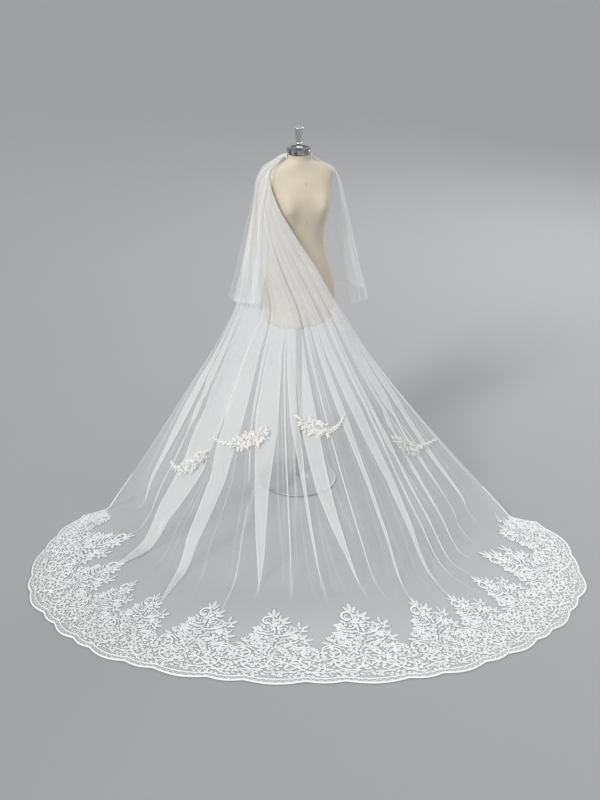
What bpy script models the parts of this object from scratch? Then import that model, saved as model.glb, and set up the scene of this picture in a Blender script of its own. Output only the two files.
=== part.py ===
"""Two-tier bridal veil on a limbless dress form.

The long tier is gathered at the nape, comes over one shoulder, crosses the front of the form and
spreads on the floor as a fan-shaped train with a corded lace border. The short tier lies over
both shoulders and round the back. Metres, +Z up, the train spreading towards -Y, and the origin
on the floor at the centre of the stand.
"""
import math
from collections import namedtuple

import bmesh
import bpy
import numpy as np
from mathutils.bvhtree import BVHTree

# Cloth
WALL = 0.0012
SEAM_GAP = 0.0003
LACE_THICKNESS = 0.0012
REPEATS = 13
COLUMNS_PER_REPEAT = 8
LACE_BANDS = 4

# Fan of the train
LACE_PEAK = 0.43
LACE_VALLEY = 0.19
END_REPEAT_PEAK = 0.22
LACE_END = 0.05
WIDE_SCALLOP = 0.018
SMALL_SCALLOP = 0.010
SCALLOP_CUSP = 0.19
FRONT_FLAT = 0.57
EDGE_FLAT = 0.10
EDGE_BOW = 0.15
FRONT_SAG = 1.35
EDGE_SAG = 1.18
EDGE_SHARPNESS = 8
FOLD_SKEW = 0.3
FOLD_CREST = 1.136

# Short tier
SHORT_WAVES = 16
COLUMNS_PER_WAVE = 4

# Heading at the nape
HEADING_HEIGHT = 1.5646
BAND_HEIGHT = 0.012
BAND_INNER = 0.0490
BAND_OUTER = 0.0570
BAND_HALF_ANGLE = 104.0

# How far out a layer looks for what is under it, and how clear of it its middle stays
LOOK_OUT = 0.06
BODY_CLEARANCE = 0.0036
SHORT_CLEARANCE = 0.0030
SPRAY_CLEARANCE = 0.0006
SPRAY_SETTLE = 0.0020

# Dress form and stand
FORM_TURN = math.radians(20.0)
FORM_SEGMENTS = 32
BUST_ANGLE = math.radians(34.0)
BUST_SPREAD = math.radians(17.0)
FORM_BOTTOM = 0.815
CAP_BOTTOM = 1.5820
CAP_TOP = 1.6070
CAP_RADIUS = 0.0490
POLE_RADIUS = 0.0140
BASE_RADIUS = 0.1800
BASE_HEIGHT = 0.0240
COLLAR_HEIGHT = 0.0300
COLLAR_RADIUS = 0.0280
TURNED_STEPS = 24

FormRow = namedtuple("FormRow", "height half_width front back bust")
FORM_ROWS = (
    FormRow(0.815, 0.098, 0.070, 0.078, 0.000),
    FormRow(0.828, 0.126, 0.090, 0.098, 0.000),
    FormRow(0.870, 0.148, 0.104, 0.116, 0.000),
    FormRow(0.950, 0.154, 0.108, 0.122, 0.000),
    FormRow(1.050, 0.140, 0.099, 0.110, 0.000),
    FormRow(1.130, 0.119, 0.086, 0.086, 0.000),
    FormRow(1.200, 0.107, 0.078, 0.072, 0.000),
    FormRow(1.270, 0.115, 0.083, 0.077, 0.004),
    FormRow(1.325, 0.127, 0.092, 0.085, 0.018),
    FormRow(1.365, 0.134, 0.096, 0.090, 0.030),
    FormRow(1.400, 0.138, 0.095, 0.092, 0.024),
    FormRow(1.440, 0.145, 0.085, 0.090, 0.008),
    FormRow(1.475, 0.156, 0.072, 0.082, 0.000),
    FormRow(1.497, 0.158, 0.060, 0.070, 0.000),
    FormRow(1.515, 0.142, 0.053, 0.061, 0.000),
    FormRow(1.530, 0.114, 0.049, 0.055, 0.000),
    FormRow(1.543, 0.084, 0.047, 0.051, 0.000),
    FormRow(1.554, 0.058, 0.046, 0.048, 0.000),
    FormRow(1.562, 0.048, 0.045, 0.0465, 0.000),
    FormRow(1.5817, 0.046, 0.046, 0.046, 0.000),
)

# The long tier on the body: each rung runs from the outer edge to the edge that crosses the front.
# The cloth of a fold stands upright where its lap is 1, doubles back above 1 and opens out below.
Rung = namedtuple("Rung", "left middle right lap rise")
BODY_RUNGS = (
    Rung((0.0120, 0.0505, 1.5646), (-0.0310, 0.0415, 1.5646), (-0.0520, 0.0040, 1.5646), 0.0, 0.0000),
    Rung((-0.014, 0.082, 1.560), (-0.060, 0.058, 1.563), (-0.070, 0.000, 1.563), 0.0, 0.0008),
    Rung((-0.090, 0.080, 1.540), (-0.108, 0.038, 1.549), (-0.088, -0.018, 1.553), 0.1, 0.0014),
    Rung((-0.158, 0.048, 1.515), (-0.145, 0.003, 1.532), (-0.105, -0.040, 1.533), 0.4, 0.0022),
    Rung((-0.186, 0.008, 1.475), (-0.168, -0.046, 1.493), (-0.118, -0.074, 1.490), 0.7, 0.0030),
    Rung((-0.203, -0.010, 1.390), (-0.175, -0.098, 1.395), (-0.110, -0.126, 1.400), 1.0, 0.0045),
    Rung((-0.222, -0.016, 1.270), (-0.165, -0.130, 1.270), (-0.043, -0.140, 1.270), 1.7, 0.0060),
    Rung((-0.243, -0.019, 1.120), (-0.130, -0.150, 1.120), (0.052, -0.142, 1.120), 2.2, 0.0090),
    Rung((-0.262, -0.020, 0.950), (-0.065, -0.188, 0.950), (0.158, -0.130, 0.950), 2.5, 0.0115),
)

# The fan, from the hip to where it touches down, at shares of the way; then on the floor, at
# shares of the lying length from the hem. A fold with a higher narrow value gathers to its middle.
FanRow = namedtuple("FanRow", "run lap rise narrow")
FAN_ROWS = (
    FanRow(0.20, 2.50, 0.0125, 0),
    FanRow(0.42, 2.15, 0.0135, 0),
    FanRow(0.63, 1.42, 0.0150, 0),
    FanRow(0.83, 1.05, 0.0140, 0),
    FanRow(1.00, 0.95, 0.0115, 2),
)
FloorRow = namedtuple("FloorRow", "from_hem lap rise narrow")
FLOOR_ROWS = (
    FloorRow(0.80, 0.80, 0.0050, 7),
    FloorRow(0.58, 0.0, 0.0000, 0),
    FloorRow(0.00, 0.0, 0.0000, 0),
)

# One row for each main fold, from the left edge to the right: its size and the way it laps.
Fold = namedtuple("Fold", "size lean")
FOLDS = (
    Fold(0.70, 1),
    Fold(0.95, 1),
    Fold(1.00, 1),
    Fold(0.60, 1),
    Fold(0.60, 1),
    Fold(0.55, -1),
    Fold(0.90, -1),
    Fold(0.65, -1),
    Fold(0.95, -1),
    Fold(0.70, -1),
    Fold(0.90, -1),
    Fold(0.65, -1),
)

HemPoint = namedtuple("HemPoint", "x y")
HEM = (
    HemPoint(-0.965, -0.34),
    HemPoint(-1.06, -0.50),
    HemPoint(-1.115, -0.73),
    HemPoint(-1.09, -1.00),
    HemPoint(-0.83, -1.345),
    HemPoint(-0.40, -1.505),
    HemPoint(0.10, -1.525),
    HemPoint(0.57, -1.46),
    HemPoint(0.965, -1.24),
    HemPoint(1.16, -0.94),
    HemPoint(1.18, -0.71),
    HemPoint(1.15, -0.54),
    HemPoint(1.06, -0.40),
)

# How far along the hem each repeat of the lace starts, where the cloth is spread or drawn in.
HEM_STOPS = (0.0, 0.066, 0.148, 0.216, 0.272, 0.342, 0.430, 0.526, 0.624, 0.700, 0.764, 0.828, 0.907, 1.0)

# The short tier: where each row passes the sides, the back and the front, and where it ends.
CapeRow = namedtuple(
    "CapeRow", "left_x left_z right_x right_z back_y back_z front_y front_z left_end right_end wave"
)
CAPE_ROWS = (
    CapeRow(0.0577, 1.5720, 0.0577, 1.5720, 0.0577, 1.5720, 0.0577, 1.5720, 100, 85, 0.0000),
    CapeRow(0.096, 1.585, 0.085, 1.562, 0.088, 1.568, 0.075, 1.585, 112, 88, 0.0012),
    CapeRow(0.148, 1.570, 0.126, 1.538, 0.122, 1.530, 0.105, 1.566, 124, 90, 0.0020),
    CapeRow(0.188, 1.540, 0.160, 1.513, 0.136, 1.470, 0.130, 1.530, 133, 91, 0.0030),
    CapeRow(0.210, 1.490, 0.174, 1.480, 0.146, 1.405, 0.155, 1.470, 140, 92, 0.0040),
    CapeRow(0.222, 1.410, 0.188, 1.405, 0.156, 1.330, 0.178, 1.390, 145, 94, 0.0060),
    CapeRow(0.242, 1.290, 0.210, 1.290, 0.172, 1.225, 0.198, 1.270, 149, 96, 0.0080),
    CapeRow(0.268, 1.110, 0.242, 1.110, 0.195, 1.080, 0.215, 1.100, 152, 98, 0.0110),
    CapeRow(0.290, 0.935, 0.272, 0.935, 0.215, 0.930, 0.228, 0.925, 153, 100, 0.0140),
)

# Lace sprays sewn on the fan: place across (0 to 1), place down, length, height, the tail's side,
# and the degrees that the tail is turned down the cloth.
Spray = namedtuple("Spray", "across run length height tail turn")
SPRAYS = (
    Spray(0.180, 0.67, 0.24, 0.080, -1, 36),
    Spray(0.363, 0.475, 0.25, 0.085, -1, 22),
    Spray(0.627, 0.42, 0.20, 0.080, 1, 14),
    Spray(0.925, 0.585, 0.26, 0.085, 1, 26),
)
SPRAY_COLUMNS = 8
SPRAY_ROWS = 3
SPRAY_TIP = 0.10
SPRAY_WIDEST = -0.35
SPRAY_BEND = 0.30

# Gaps cut through the lace in each repeat: the band of the border and the column in the repeat.
LaceGap = namedtuple("LaceGap", "band column")
LACE_GAPS = (
    LaceGap(1, 2),
    LaceGap(1, 5),
    LaceGap(2, 0),
    LaceGap(2, 7),
)


def clear_scene():
    for thing in list(bpy.data.objects):
        bpy.data.objects.remove(thing, do_unlink=True)


def material(name, colour, roughness, metallic):
    made = bpy.data.materials.new(name)
    made.use_nodes = True
    shader = made.node_tree.nodes["Principled BSDF"]
    shader.inputs["Base Color"].default_value = (*colour, 1.0)
    shader.inputs["Roughness"].default_value = roughness
    shader.inputs["Metallic"].default_value = metallic
    return made


def add_object(name, mesh, surface, collection):
    mesh.materials.append(surface)
    thing = bpy.data.objects.new(name, mesh)
    collection.objects.link(thing)
    return thing


def spline(knots, values, at):
    """A smooth curve through the values at the knots, read at the places given."""
    knots = np.asarray(knots, dtype=float)
    values = np.asarray(values, dtype=float)
    slopes = np.gradient(values, knots, axis=0)
    first = np.clip(np.searchsorted(knots, at, side="right") - 1, 0, len(knots) - 2)
    span = (knots[first + 1] - knots[first])[:, None]
    s = ((at - knots[first]) / span[:, 0])[:, None]
    start = values[first] * (1 + 2 * s) * (1 - s) ** 2 + slopes[first] * span * s * (1 - s) ** 2
    end = values[first + 1] * s * s * (3 - 2 * s) - slopes[first + 1] * span * s * s * (1 - s)
    return start + end


def along(points, shares):
    """Places at the given shares of the length of a smooth curve through the points."""
    points = np.asarray(points, dtype=float)
    fine = spline(np.arange(len(points)), points, np.linspace(0, len(points) - 1, 600))
    run = np.concatenate(([0], np.cumsum(np.linalg.norm(np.diff(fine, axis=0), axis=1))))
    at = run[-1] * shares
    return np.stack([np.interp(at, run, fine[:, axis]) for axis in range(points.shape[1])], axis=1)


def unit(vectors):
    return vectors / np.linalg.norm(vectors, axis=-1, keepdims=True)


def directions(points, axis):
    """The way a grid runs at each point: halfway between its steps to both neighbours."""
    steps = unit(np.diff(points, axis=axis))
    first = np.take(steps, [0], axis=axis)
    last = np.take(steps, [-1], axis=axis)
    return unit(np.concatenate((first, steps), axis=axis) + np.concatenate((steps, last), axis=axis))


def grid_normals(points):
    """Outward normals of a grid whose rows run down the cloth and columns across it."""
    return unit(np.cross(directions(points, 0), directions(points, 1)))


def cloth_solid(name, inner, outer, keep, surface, collection):
    """A closed wall between two grids of points, with a rim round every cell that is left out."""
    rows, columns = inner.shape[:2]
    bm = bmesh.new()
    sides = []
    for side in (inner, outer):
        sides.append([[None] * columns for _ in range(rows)])
        for row in range(rows):
            for column in range(columns):
                near = keep[max(row - 1, 0):row + 1, max(column - 1, 0):column + 1]
                if near.any():
                    sides[-1][row][column] = bm.verts.new(side[row, column])
    low, high = sides
    for row in range(rows - 1):
        for column in range(columns - 1):
            if not keep[row, column]:
                continue
            corners = ((row, column), (row + 1, column), (row + 1, column + 1), (row, column + 1))
            for a, b, c in ((0, 1, 2), (0, 2, 3)):
                (ra, ca), (rb, cb), (rc, cc) = corners[a], corners[b], corners[c]
                bm.faces.new((high[ra][ca], high[rb][cb], high[rc][cc]))
                bm.faces.new((low[rc][cc], low[rb][cb], low[ra][ca]))
            beside = ((row, column - 1), (row + 1, column), (row, column + 1), (row - 1, column))
            for side, (r, c) in enumerate(beside):
                if 0 <= r < rows - 1 and 0 <= c < columns - 1 and keep[r, c]:
                    continue
                (rs, cs), (re, ce) = corners[side], corners[(side + 1) % 4]
                rim = (high[re][ce], high[rs][cs], low[rs][cs], low[re][ce])
                bm.faces.new((rim[0], rim[1], rim[2]))
                bm.faces.new((rim[0], rim[2], rim[3]))
    mesh = bpy.data.meshes.new(name)
    bm.to_mesh(mesh)
    bm.free()
    mesh.shade_smooth()
    return add_object(name, mesh, surface, collection)


def cloth_wall(name, points, normals, surface, collection, low=-WALL / 2, high=WALL / 2, keep=None):
    """A wall on a grid of points, from one height to the other along their normals."""
    if keep is None:
        keep = np.ones((points.shape[0] - 1, points.shape[1] - 1), dtype=bool)
    return cloth_solid(name, points + normals * low, points + normals * high, keep, surface, collection)


def form_section(row, angles):
    """Points round the form at one height; angle 0 is the front, growing to the right."""
    sine, cosine = np.sin(angles), np.cos(angles)
    depth = np.where(cosine > 0, row.front, row.back) * cosine
    for side in (-1, 1):
        depth = depth + row.bust * np.exp(-((angles - side * BUST_ANGLE) / BUST_SPREAD) ** 2)
    width = row.half_width * sine
    turn_x, turn_y = math.cos(FORM_TURN), math.sin(FORM_TURN)
    x = width * turn_x + depth * turn_y
    y = width * turn_y - depth * turn_x
    return np.stack([x, y, np.full_like(x, row.height)], axis=1)


def make_torso(surface, collection):
    angles = np.linspace(-math.pi, math.pi, FORM_SEGMENTS, endpoint=False)
    bm = bmesh.new()
    rings = [[bm.verts.new(point) for point in form_section(row, angles)] for row in FORM_ROWS]
    for lower, upper in zip(rings, rings[1:]):
        for i in range(FORM_SEGMENTS):
            j = (i + 1) % FORM_SEGMENTS
            bm.faces.new((lower[i], lower[j], upper[j], upper[i]))
    bm.faces.new(rings[0][::-1])
    bm.faces.new(rings[-1])
    mesh = bpy.data.meshes.new("form_torso")
    bm.to_mesh(mesh)
    bm.free()
    mesh.shade_smooth()
    mesh.set_sharp_from_angle(angle=math.radians(50))
    return add_object("form_torso", mesh, surface, collection)


def turned(name, profile, surface, collection):
    """A body turned round the Z axis from its outline, given from top to bottom."""
    mesh = bpy.data.meshes.new(name)
    edges = [(i, i + 1) for i in range(len(profile) - 1)]
    mesh.from_pydata([(radius, 0.0, height) for radius, height in profile], edges, [])
    thing = add_object(name, mesh, surface, collection)
    screw = thing.modifiers.new("turn", "SCREW")
    screw.steps = TURNED_STEPS
    screw.render_steps = TURNED_STEPS
    screw.use_merge_vertices = True
    screw.merge_threshold = 0.00001
    screw.use_smooth_shade = True
    return thing


def train_ribs(hip, hem, flat):
    """A dense line from hip to hem for each column, with its distance run along it."""
    ribs = []
    share = np.linspace(0, 1, 121)
    edge = edge_share(len(hip))
    for start, end, lying, near_edge in zip(hip, hem, flat, edge):
        sag = FRONT_SAG + (EDGE_SAG - FRONT_SAG) * near_edge
        x = start[0] + (end[0] - start[0]) * share
        bow = EDGE_BOW * near_edge * 27 / 4 * share * (1 - share) ** 2
        y = start[1] + (end[1] - start[1]) * share + bow
        ground = np.concatenate(([0], np.cumsum(np.hypot(np.diff(x), np.diff(y)))))
        hanging = ground[-1] - lying
        z = WALL / 2 + (start[2] - WALL / 2) * np.clip(1 - ground / hanging, 0, 1) ** sag
        line = np.stack([x, y, z], axis=1)
        run = np.concatenate(([0], np.cumsum(np.linalg.norm(np.diff(line, axis=0), axis=1))))
        ribs.append((run, line))
    return ribs


def read_ribs(ribs, from_hem):
    """Points at the given distance from the hem along each rib; past the hem they run on straight."""
    points = []
    for (run, line), distance in zip(ribs, from_hem):
        ahead = unit(line[-1] - line[-2])
        stop = run[-1] - distance
        point = np.array([np.interp(stop, run, line[:, axis]) for axis in range(3)])
        points.append(point + ahead * max(-distance, 0))
    return np.array(points)


def edge_share(columns):
    """1 at the two edges of the cloth, falling quickly to 0 in its middle."""
    return np.abs(np.linspace(-1, 1, columns)) ** EDGE_SHARPNESS


def train_base():
    """The long tier without its folds, as a grid, and its ribs from hip to hem."""
    columns = REPEATS * COLUMNS_PER_REPEAT + 1
    across = np.linspace(0, 1, columns)
    rows = [spline((0, 0.5, 1), (rung.left, rung.middle, rung.right), across) for rung in BODY_RUNGS]
    edge = edge_share(columns)
    flat = FRONT_FLAT + (EDGE_FLAT - FRONT_FLAT) * edge
    stops = np.array(HEM_STOPS)[:, None]
    shares = spline(np.arange(REPEATS + 1), stops, np.arange(columns) / COLUMNS_PER_REPEAT)[:, 0]
    ribs = train_ribs(rows[-1], along(HEM, shares), flat)
    length = np.array([run[-1] for run, _ in ribs])
    for row in FAN_ROWS:
        rows.append(read_ribs(ribs, flat + (length - flat) * (1 - row.run)))
    for row in FLOOR_ROWS[:-1]:
        rows.append(read_ribs(ribs, flat * row.from_hem))
    rows.append(read_ribs(ribs, -lace_outline(columns)[1]))
    return np.stack(rows), ribs


def lace_outline(columns):
    """How deep the lace is over the hem, and how far its scallops stand out, at each column."""
    place = np.arange(columns) / COLUMNS_PER_REPEAT
    from_valley = 2 * np.abs(place - np.round(place))
    peak = np.where((place < 1) | (place > REPEATS - 1), END_REPEAT_PEAK, LACE_PEAK)
    valley = np.where((place < 0.5) | (place > REPEATS - 0.5), LACE_END, LACE_VALLEY)
    depth = valley + (peak - valley) * from_valley
    phase = place % 1.0
    near_valley = np.where(phase > 0.5, phase - 1, phase)
    scallop = np.where(
        np.abs(near_valley) > SCALLOP_CUSP,
        WIDE_SCALLOP * np.sin(math.pi * (phase - SCALLOP_CUSP) / (1 - 2 * SCALLOP_CUSP)),
        SMALL_SCALLOP * np.cos(math.pi * near_valley / (2 * SCALLOP_CUSP)),
    )
    return depth, np.maximum(scallop, 0)


def fold_wave(phase):
    """The height of a lapped fold over its pitch: its crest comes after the turn of the cloth."""
    return (np.sin(2 * math.pi * phase) - FOLD_SKEW * np.sin(4 * math.pi * phase)) / FOLD_CREST


def fold_train(base):
    """The base grid with its lapped folds, each one centred over a valley of the lace."""
    columns = base.shape[1]
    place = np.arange(columns) / COLUMNS_PER_REPEAT
    phase = place - np.round(place)
    stops = np.arange(REPEATS + 1)
    size = np.interp(place, stops, [0] + [fold.size for fold in FOLDS] + [0])
    lean = np.interp(place, stops, [1] + [fold.lean for fold in FOLDS] + [-1])
    has_folds = np.interp(place, (0, 0.5, REPEATS - 0.5, REPEATS), (0, 1, 1, 0))
    table = BODY_RUNGS + FAN_ROWS + FLOOR_ROWS
    lap = np.array([row.lap for row in table])[:, None]
    lap = np.where(lap > 1, 1 + (lap - 1) * size, lap)
    rise = np.array([row.rise for row in table])[:, None]
    narrow = np.array([getattr(row, "narrow", 0) for row in table])[:, None]
    gather = np.cos(math.pi * phase) ** (2 * narrow)
    normals = grid_normals(base)
    side = unit(np.cross(normals, directions(base, 0)))
    pitch = (np.gradient(base, axis=1) * side).sum(axis=2) * COLUMNS_PER_REPEAT
    shift = -lap * pitch * has_folds * gather * np.sin(2 * math.pi * phase) / (2 * math.pi)
    height = rise * size * gather * (1 + lean * fold_wave(phase))
    return base + side * shift[..., None] + normals * height[..., None], height


def tree_of(thing):
    """The evaluated faces of an object, ready to be measured against."""
    depsgraph = bpy.context.evaluated_depsgraph_get()
    return BVHTree.FromObject(thing, depsgraph)


def lay_over(points, under, clearance):
    """Lifts a grid along its normals until it lies clear of what is under it."""
    normals = grid_normals(points)
    lift = np.zeros(points.shape[:2])
    steps = (0.0, 0.5, 1.0)
    for row in range(points.shape[0] - 1):
        for column in range(points.shape[1] - 1):
            for down in steps:
                for across in steps:
                    point = read_grid(points, row + down, column + across)
                    normal = unit(read_grid(normals, row + down, column + across))
                    for tree in under:
                        hit = tree.ray_cast(point + normal * LOOK_OUT, -normal, LOOK_OUT + clearance)[3]
                        if hit is not None:
                            near = lift[row:row + 2, column:column + 2]
                            np.maximum(near, LOOK_OUT + clearance - hit, out=near)
    return points + normals * lift[..., None]


def make_train(torso, surface, collection):
    """The long tier as the drape on the body and three sectors of the fan."""
    base, ribs = train_base()
    body = len(BODY_RUNGS)
    base[1:body - 1] = lay_over(base[1:body - 1], [tree_of(torso)], BODY_CLEARANCE)
    points, height = fold_train(base)
    normals = grid_normals(points)
    hip_row = body - 1
    last_column = points.shape[1] - 1
    cuts = (0, 4 * COLUMNS_PER_REPEAT + 4, 8 * COLUMNS_PER_REPEAT + 4, last_column)
    drape = points[:body].copy()
    drape[-1] -= unit(drape[-1] - drape[-2]) * 2 * SEAM_GAP
    drape_wall = cloth_wall("train_drape", drape, normals[:body], surface, collection)
    names = ("train_left", "train_front", "train_right")
    sectors = []
    for name, first, last in zip(names, cuts, cuts[1:]):
        sector = points[hip_row:, first:last + 1].copy()
        if last < last_column:
            sector[:, -1] -= unit(sector[:, -1] - sector[:, -2]) * SEAM_GAP
        sectors.append(cloth_wall(name, sector, normals[hip_row:, first:last + 1], surface, collection))
    return drape_wall, sectors, base, ribs, height


def make_lace_border(ribs, surface, collection):
    """The lace lying on the flat of the train, with its largest gaps cut through."""
    columns = len(ribs)
    depth, scallop = lace_outline(columns)
    shares = np.linspace(1, 0, LACE_BANDS + 1)
    rows = [read_ribs(ribs, depth * share - (scallop if share == 0 else 0)) for share in shares]
    points = np.stack(rows)
    keep = np.ones((LACE_BANDS, columns - 1), dtype=bool)
    for repeat in range(REPEATS):
        for gap in LACE_GAPS:
            keep[gap.band, repeat * COLUMNS_PER_REPEAT + gap.column] = False
    keep[:, [0, -1]] = True
    low = WALL / 2 + SEAM_GAP
    cloth_wall("lace_border", points, grid_normals(points), surface, collection,
               low, low + LACE_THICKNESS, keep)


def read_grid(grid, row, column):
    """A point between the rows and columns of a grid."""
    r = min(int(row), grid.shape[0] - 2)
    c = min(int(column), grid.shape[1] - 2)
    dr, dc = row - r, column - c
    upper = grid[r, c] * (1 - dc) + grid[r, c + 1] * dc
    lower = grid[r + 1, c] * (1 - dc) + grid[r + 1, c + 1] * dc
    return upper * (1 - dr) + lower * dr


def make_spray(index, spray, base, height, under, surface, collection):
    """A crescent of lace on the crests of the folds, with one end drawn out to a tail."""
    runs = [0] + [row.run for row in FAN_ROWS]
    hip_row = len(BODY_RUNGS) - 1
    row = hip_row + np.interp(spray.run, runs, np.arange(len(runs)))
    column = spray.across * (base.shape[1] - 1)
    normals = grid_normals(base)
    centre = read_grid(base, row, column)
    column_step = np.linalg.norm(read_grid(base, row, column + 1) - centre)
    row_step = np.linalg.norm(read_grid(base, row + 0.5, column) - read_grid(base, row - 0.5, column))
    reach = int(spray.length / 2 / column_step)
    near = height[int(row):int(row) + 2, int(column) - reach:int(column) + reach + 2]
    lift = near.max() + WALL / 2 - SPRAY_SETTLE
    turn = math.radians(spray.turn)
    grid = np.empty((SPRAY_ROWS + 1, SPRAY_COLUMNS + 1, 3))
    out = np.empty_like(grid)
    for j in range(SPRAY_COLUMNS + 1):
        s = (j / SPRAY_COLUMNS * 2 - 1) * spray.tail
        from_widest = s - SPRAY_WIDEST
        to_end = 1 - SPRAY_WIDEST if from_widest > 0 else 1 + SPRAY_WIDEST
        width = SPRAY_TIP + (1 - SPRAY_TIP) * (1 - (from_widest / to_end) ** 2)
        bend = SPRAY_BEND * (s * s - 0.4)
        for i in range(SPRAY_ROWS + 1):
            way = s * spray.length / 2
            drop = ((i / SPRAY_ROWS - 0.5) * width - bend) * spray.height
            across = column + spray.tail * (way * math.cos(turn) - drop * math.sin(turn)) / column_step
            down = row + (way * math.sin(turn) + drop * math.cos(turn)) / row_step
            grid[i, j] = read_grid(base, down, across)
            out[i, j] = read_grid(normals, down, across)
    points = lay_over(grid + unit(out) * lift, under, SPRAY_CLEARANCE)
    cloth_wall(f"lace_spray_{index}", points, grid_normals(points), surface, collection,
               0.0, LACE_THICKNESS)


def make_short_tier(under, surface, collection):
    """The short tier, from the heading round both shoulders and the back to a level hem."""
    columns = SHORT_WAVES * COLUMNS_PER_WAVE + 1
    share = np.linspace(1, 0, columns)
    rows = []
    for row in CAPE_ROWS:
        angle = np.radians(-row.left_end + (row.left_end + row.right_end) * share)
        sine, cosine = np.sin(angle), np.cos(angle)
        behind = cosine > 0
        x = np.where(sine < 0, row.left_x, row.right_x) * sine
        y = np.where(behind, row.back_y, row.front_y) * cosine
        side_z = np.where(sine < 0, row.left_z, row.right_z)
        depth_z = np.where(behind, row.back_z, row.front_z)
        rows.append(np.stack([x, y, side_z * sine ** 2 + depth_z * cosine ** 2], axis=1))
    base = np.stack(rows)
    base[1:] = lay_over(base[1:], [tree_of(thing) for thing in under], SHORT_CLEARANCE)
    wave = np.array([row.wave for row in CAPE_ROWS])[:, None]
    lift = wave * (1 - np.cos(2 * math.pi * SHORT_WAVES * share))
    points = base + grid_normals(base) * lift[..., None]
    cloth_wall("short_tier", points, grid_normals(points), surface, collection)


def make_heading_band(surface, collection):
    """The gathered band at the nape: a bent strip just above both headings."""
    angles = np.radians(np.linspace(-BAND_HALF_ANGLE, BAND_HALF_ANGLE, 25))
    bottom = HEADING_HEIGHT + WALL / 2 + SEAM_GAP
    levels = (bottom + BAND_HEIGHT, bottom)
    def ring(radius):
        return np.array([[(radius * math.sin(a), radius * math.cos(a), z) for a in angles] for z in levels])
    keep = np.ones((1, len(angles) - 1), dtype=bool)
    cloth_solid("heading_band", ring(BAND_OUTER), ring(BAND_INNER), keep, surface, collection)


def main():
    clear_scene()
    veil = bpy.data.collections.new("bridal_veil_on_dress_form")
    bpy.context.scene.collection.children.link(veil)
    tulle = material("tulle", (0.86, 0.87, 0.86), 0.7, 0.0)
    lace = material("lace", (0.84, 0.84, 0.80), 0.75, 0.0)
    linen = material("form_cover", (0.66, 0.58, 0.44), 0.85, 0.0)
    chrome = material("chrome", (0.50, 0.50, 0.50), 0.15, 1.0)
    satin_metal = material("satin_metal", (0.74, 0.73, 0.70), 0.4, 1.0)

    torso = make_torso(linen, veil)
    turned("form_neck_cap", (
        (0.0, CAP_TOP), (CAP_RADIUS - 0.002, CAP_TOP), (CAP_RADIUS, CAP_TOP - 0.002),
        (CAP_RADIUS, CAP_BOTTOM + 0.001), (CAP_RADIUS - 0.001, CAP_BOTTOM), (0.0, CAP_BOTTOM),
    ), chrome, veil)
    foot = CAP_TOP + SEAM_GAP
    turned("form_finial", (
        (0.0, foot + 0.0870), (0.0175, foot + 0.0870), (0.0190, foot + 0.0850), (0.0165, foot + 0.0640),
        (0.0125, foot + 0.0360), (0.0108, foot + 0.0235), (0.0150, foot + 0.0215), (0.0158, foot + 0.0180),
        (0.0150, foot + 0.0145), (0.0105, foot + 0.0125), (0.0120, foot + 0.0060), (0.0145, foot + 0.0020),
        (0.0145, foot), (0.0, foot),
    ), satin_metal, veil)
    collar_top = FORM_BOTTOM - SEAM_GAP
    collar_bottom = collar_top - COLLAR_HEIGHT
    turned("form_collar", (
        (0.0, collar_top), (COLLAR_RADIUS, collar_top), (COLLAR_RADIUS, collar_bottom + 0.003),
        (COLLAR_RADIUS - 0.003, collar_bottom), (0.0, collar_bottom),
    ), chrome, veil)
    pole_bottom = BASE_HEIGHT + SEAM_GAP
    pole_top = collar_bottom - SEAM_GAP
    turned("stand_pole", (
        (0.0, pole_top), (POLE_RADIUS, pole_top), (POLE_RADIUS, pole_bottom), (0.0, pole_bottom),
    ), chrome, veil)
    turned("stand_base", (
        (0.0, BASE_HEIGHT), (0.0300, BASE_HEIGHT), (0.0420, BASE_HEIGHT - 0.009),
        (BASE_RADIUS - 0.012, BASE_HEIGHT - 0.013), (BASE_RADIUS - 0.003, BASE_HEIGHT - 0.016),
        (BASE_RADIUS, BASE_HEIGHT - 0.020), (BASE_RADIUS, 0.0), (0.0, 0.0),
    ), chrome, veil)

    drape, sectors, base, ribs, height = make_train(torso, tulle, veil)
    make_lace_border(ribs, lace, veil)
    fan = [tree_of(sector) for sector in sectors]
    for index, spray in enumerate(SPRAYS, start=1):
        make_spray(index, spray, base, height, fan, lace, veil)
    make_short_tier([torso, drape], tulle, veil)
    make_heading_band(tulle, veil)


main()
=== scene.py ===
"""Two-tier bridal veil with a corded lace train, on a limbless dress form."""
import math
import random
from collections import namedtuple

import bmesh
import bpy
import numpy as np
from mathutils import Matrix, Vector
from mathutils.bvhtree import BVHTree


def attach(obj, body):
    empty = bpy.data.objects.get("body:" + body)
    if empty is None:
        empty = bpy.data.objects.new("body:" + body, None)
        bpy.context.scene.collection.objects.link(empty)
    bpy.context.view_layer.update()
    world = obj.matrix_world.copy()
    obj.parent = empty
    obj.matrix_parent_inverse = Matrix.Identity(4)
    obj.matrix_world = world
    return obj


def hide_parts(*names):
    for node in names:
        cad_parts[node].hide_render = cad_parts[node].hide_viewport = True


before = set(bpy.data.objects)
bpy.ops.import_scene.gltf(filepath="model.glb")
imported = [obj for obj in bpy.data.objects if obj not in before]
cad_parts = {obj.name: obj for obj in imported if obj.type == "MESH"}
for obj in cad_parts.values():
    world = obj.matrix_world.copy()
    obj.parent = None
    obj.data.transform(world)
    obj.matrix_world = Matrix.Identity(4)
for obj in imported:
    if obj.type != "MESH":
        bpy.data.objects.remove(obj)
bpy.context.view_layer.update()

# ---- Sizes shared with the solids, in metres ----
REPEATS = 13
SOLID_COLUMNS = REPEATS * 8 + 1
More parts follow.
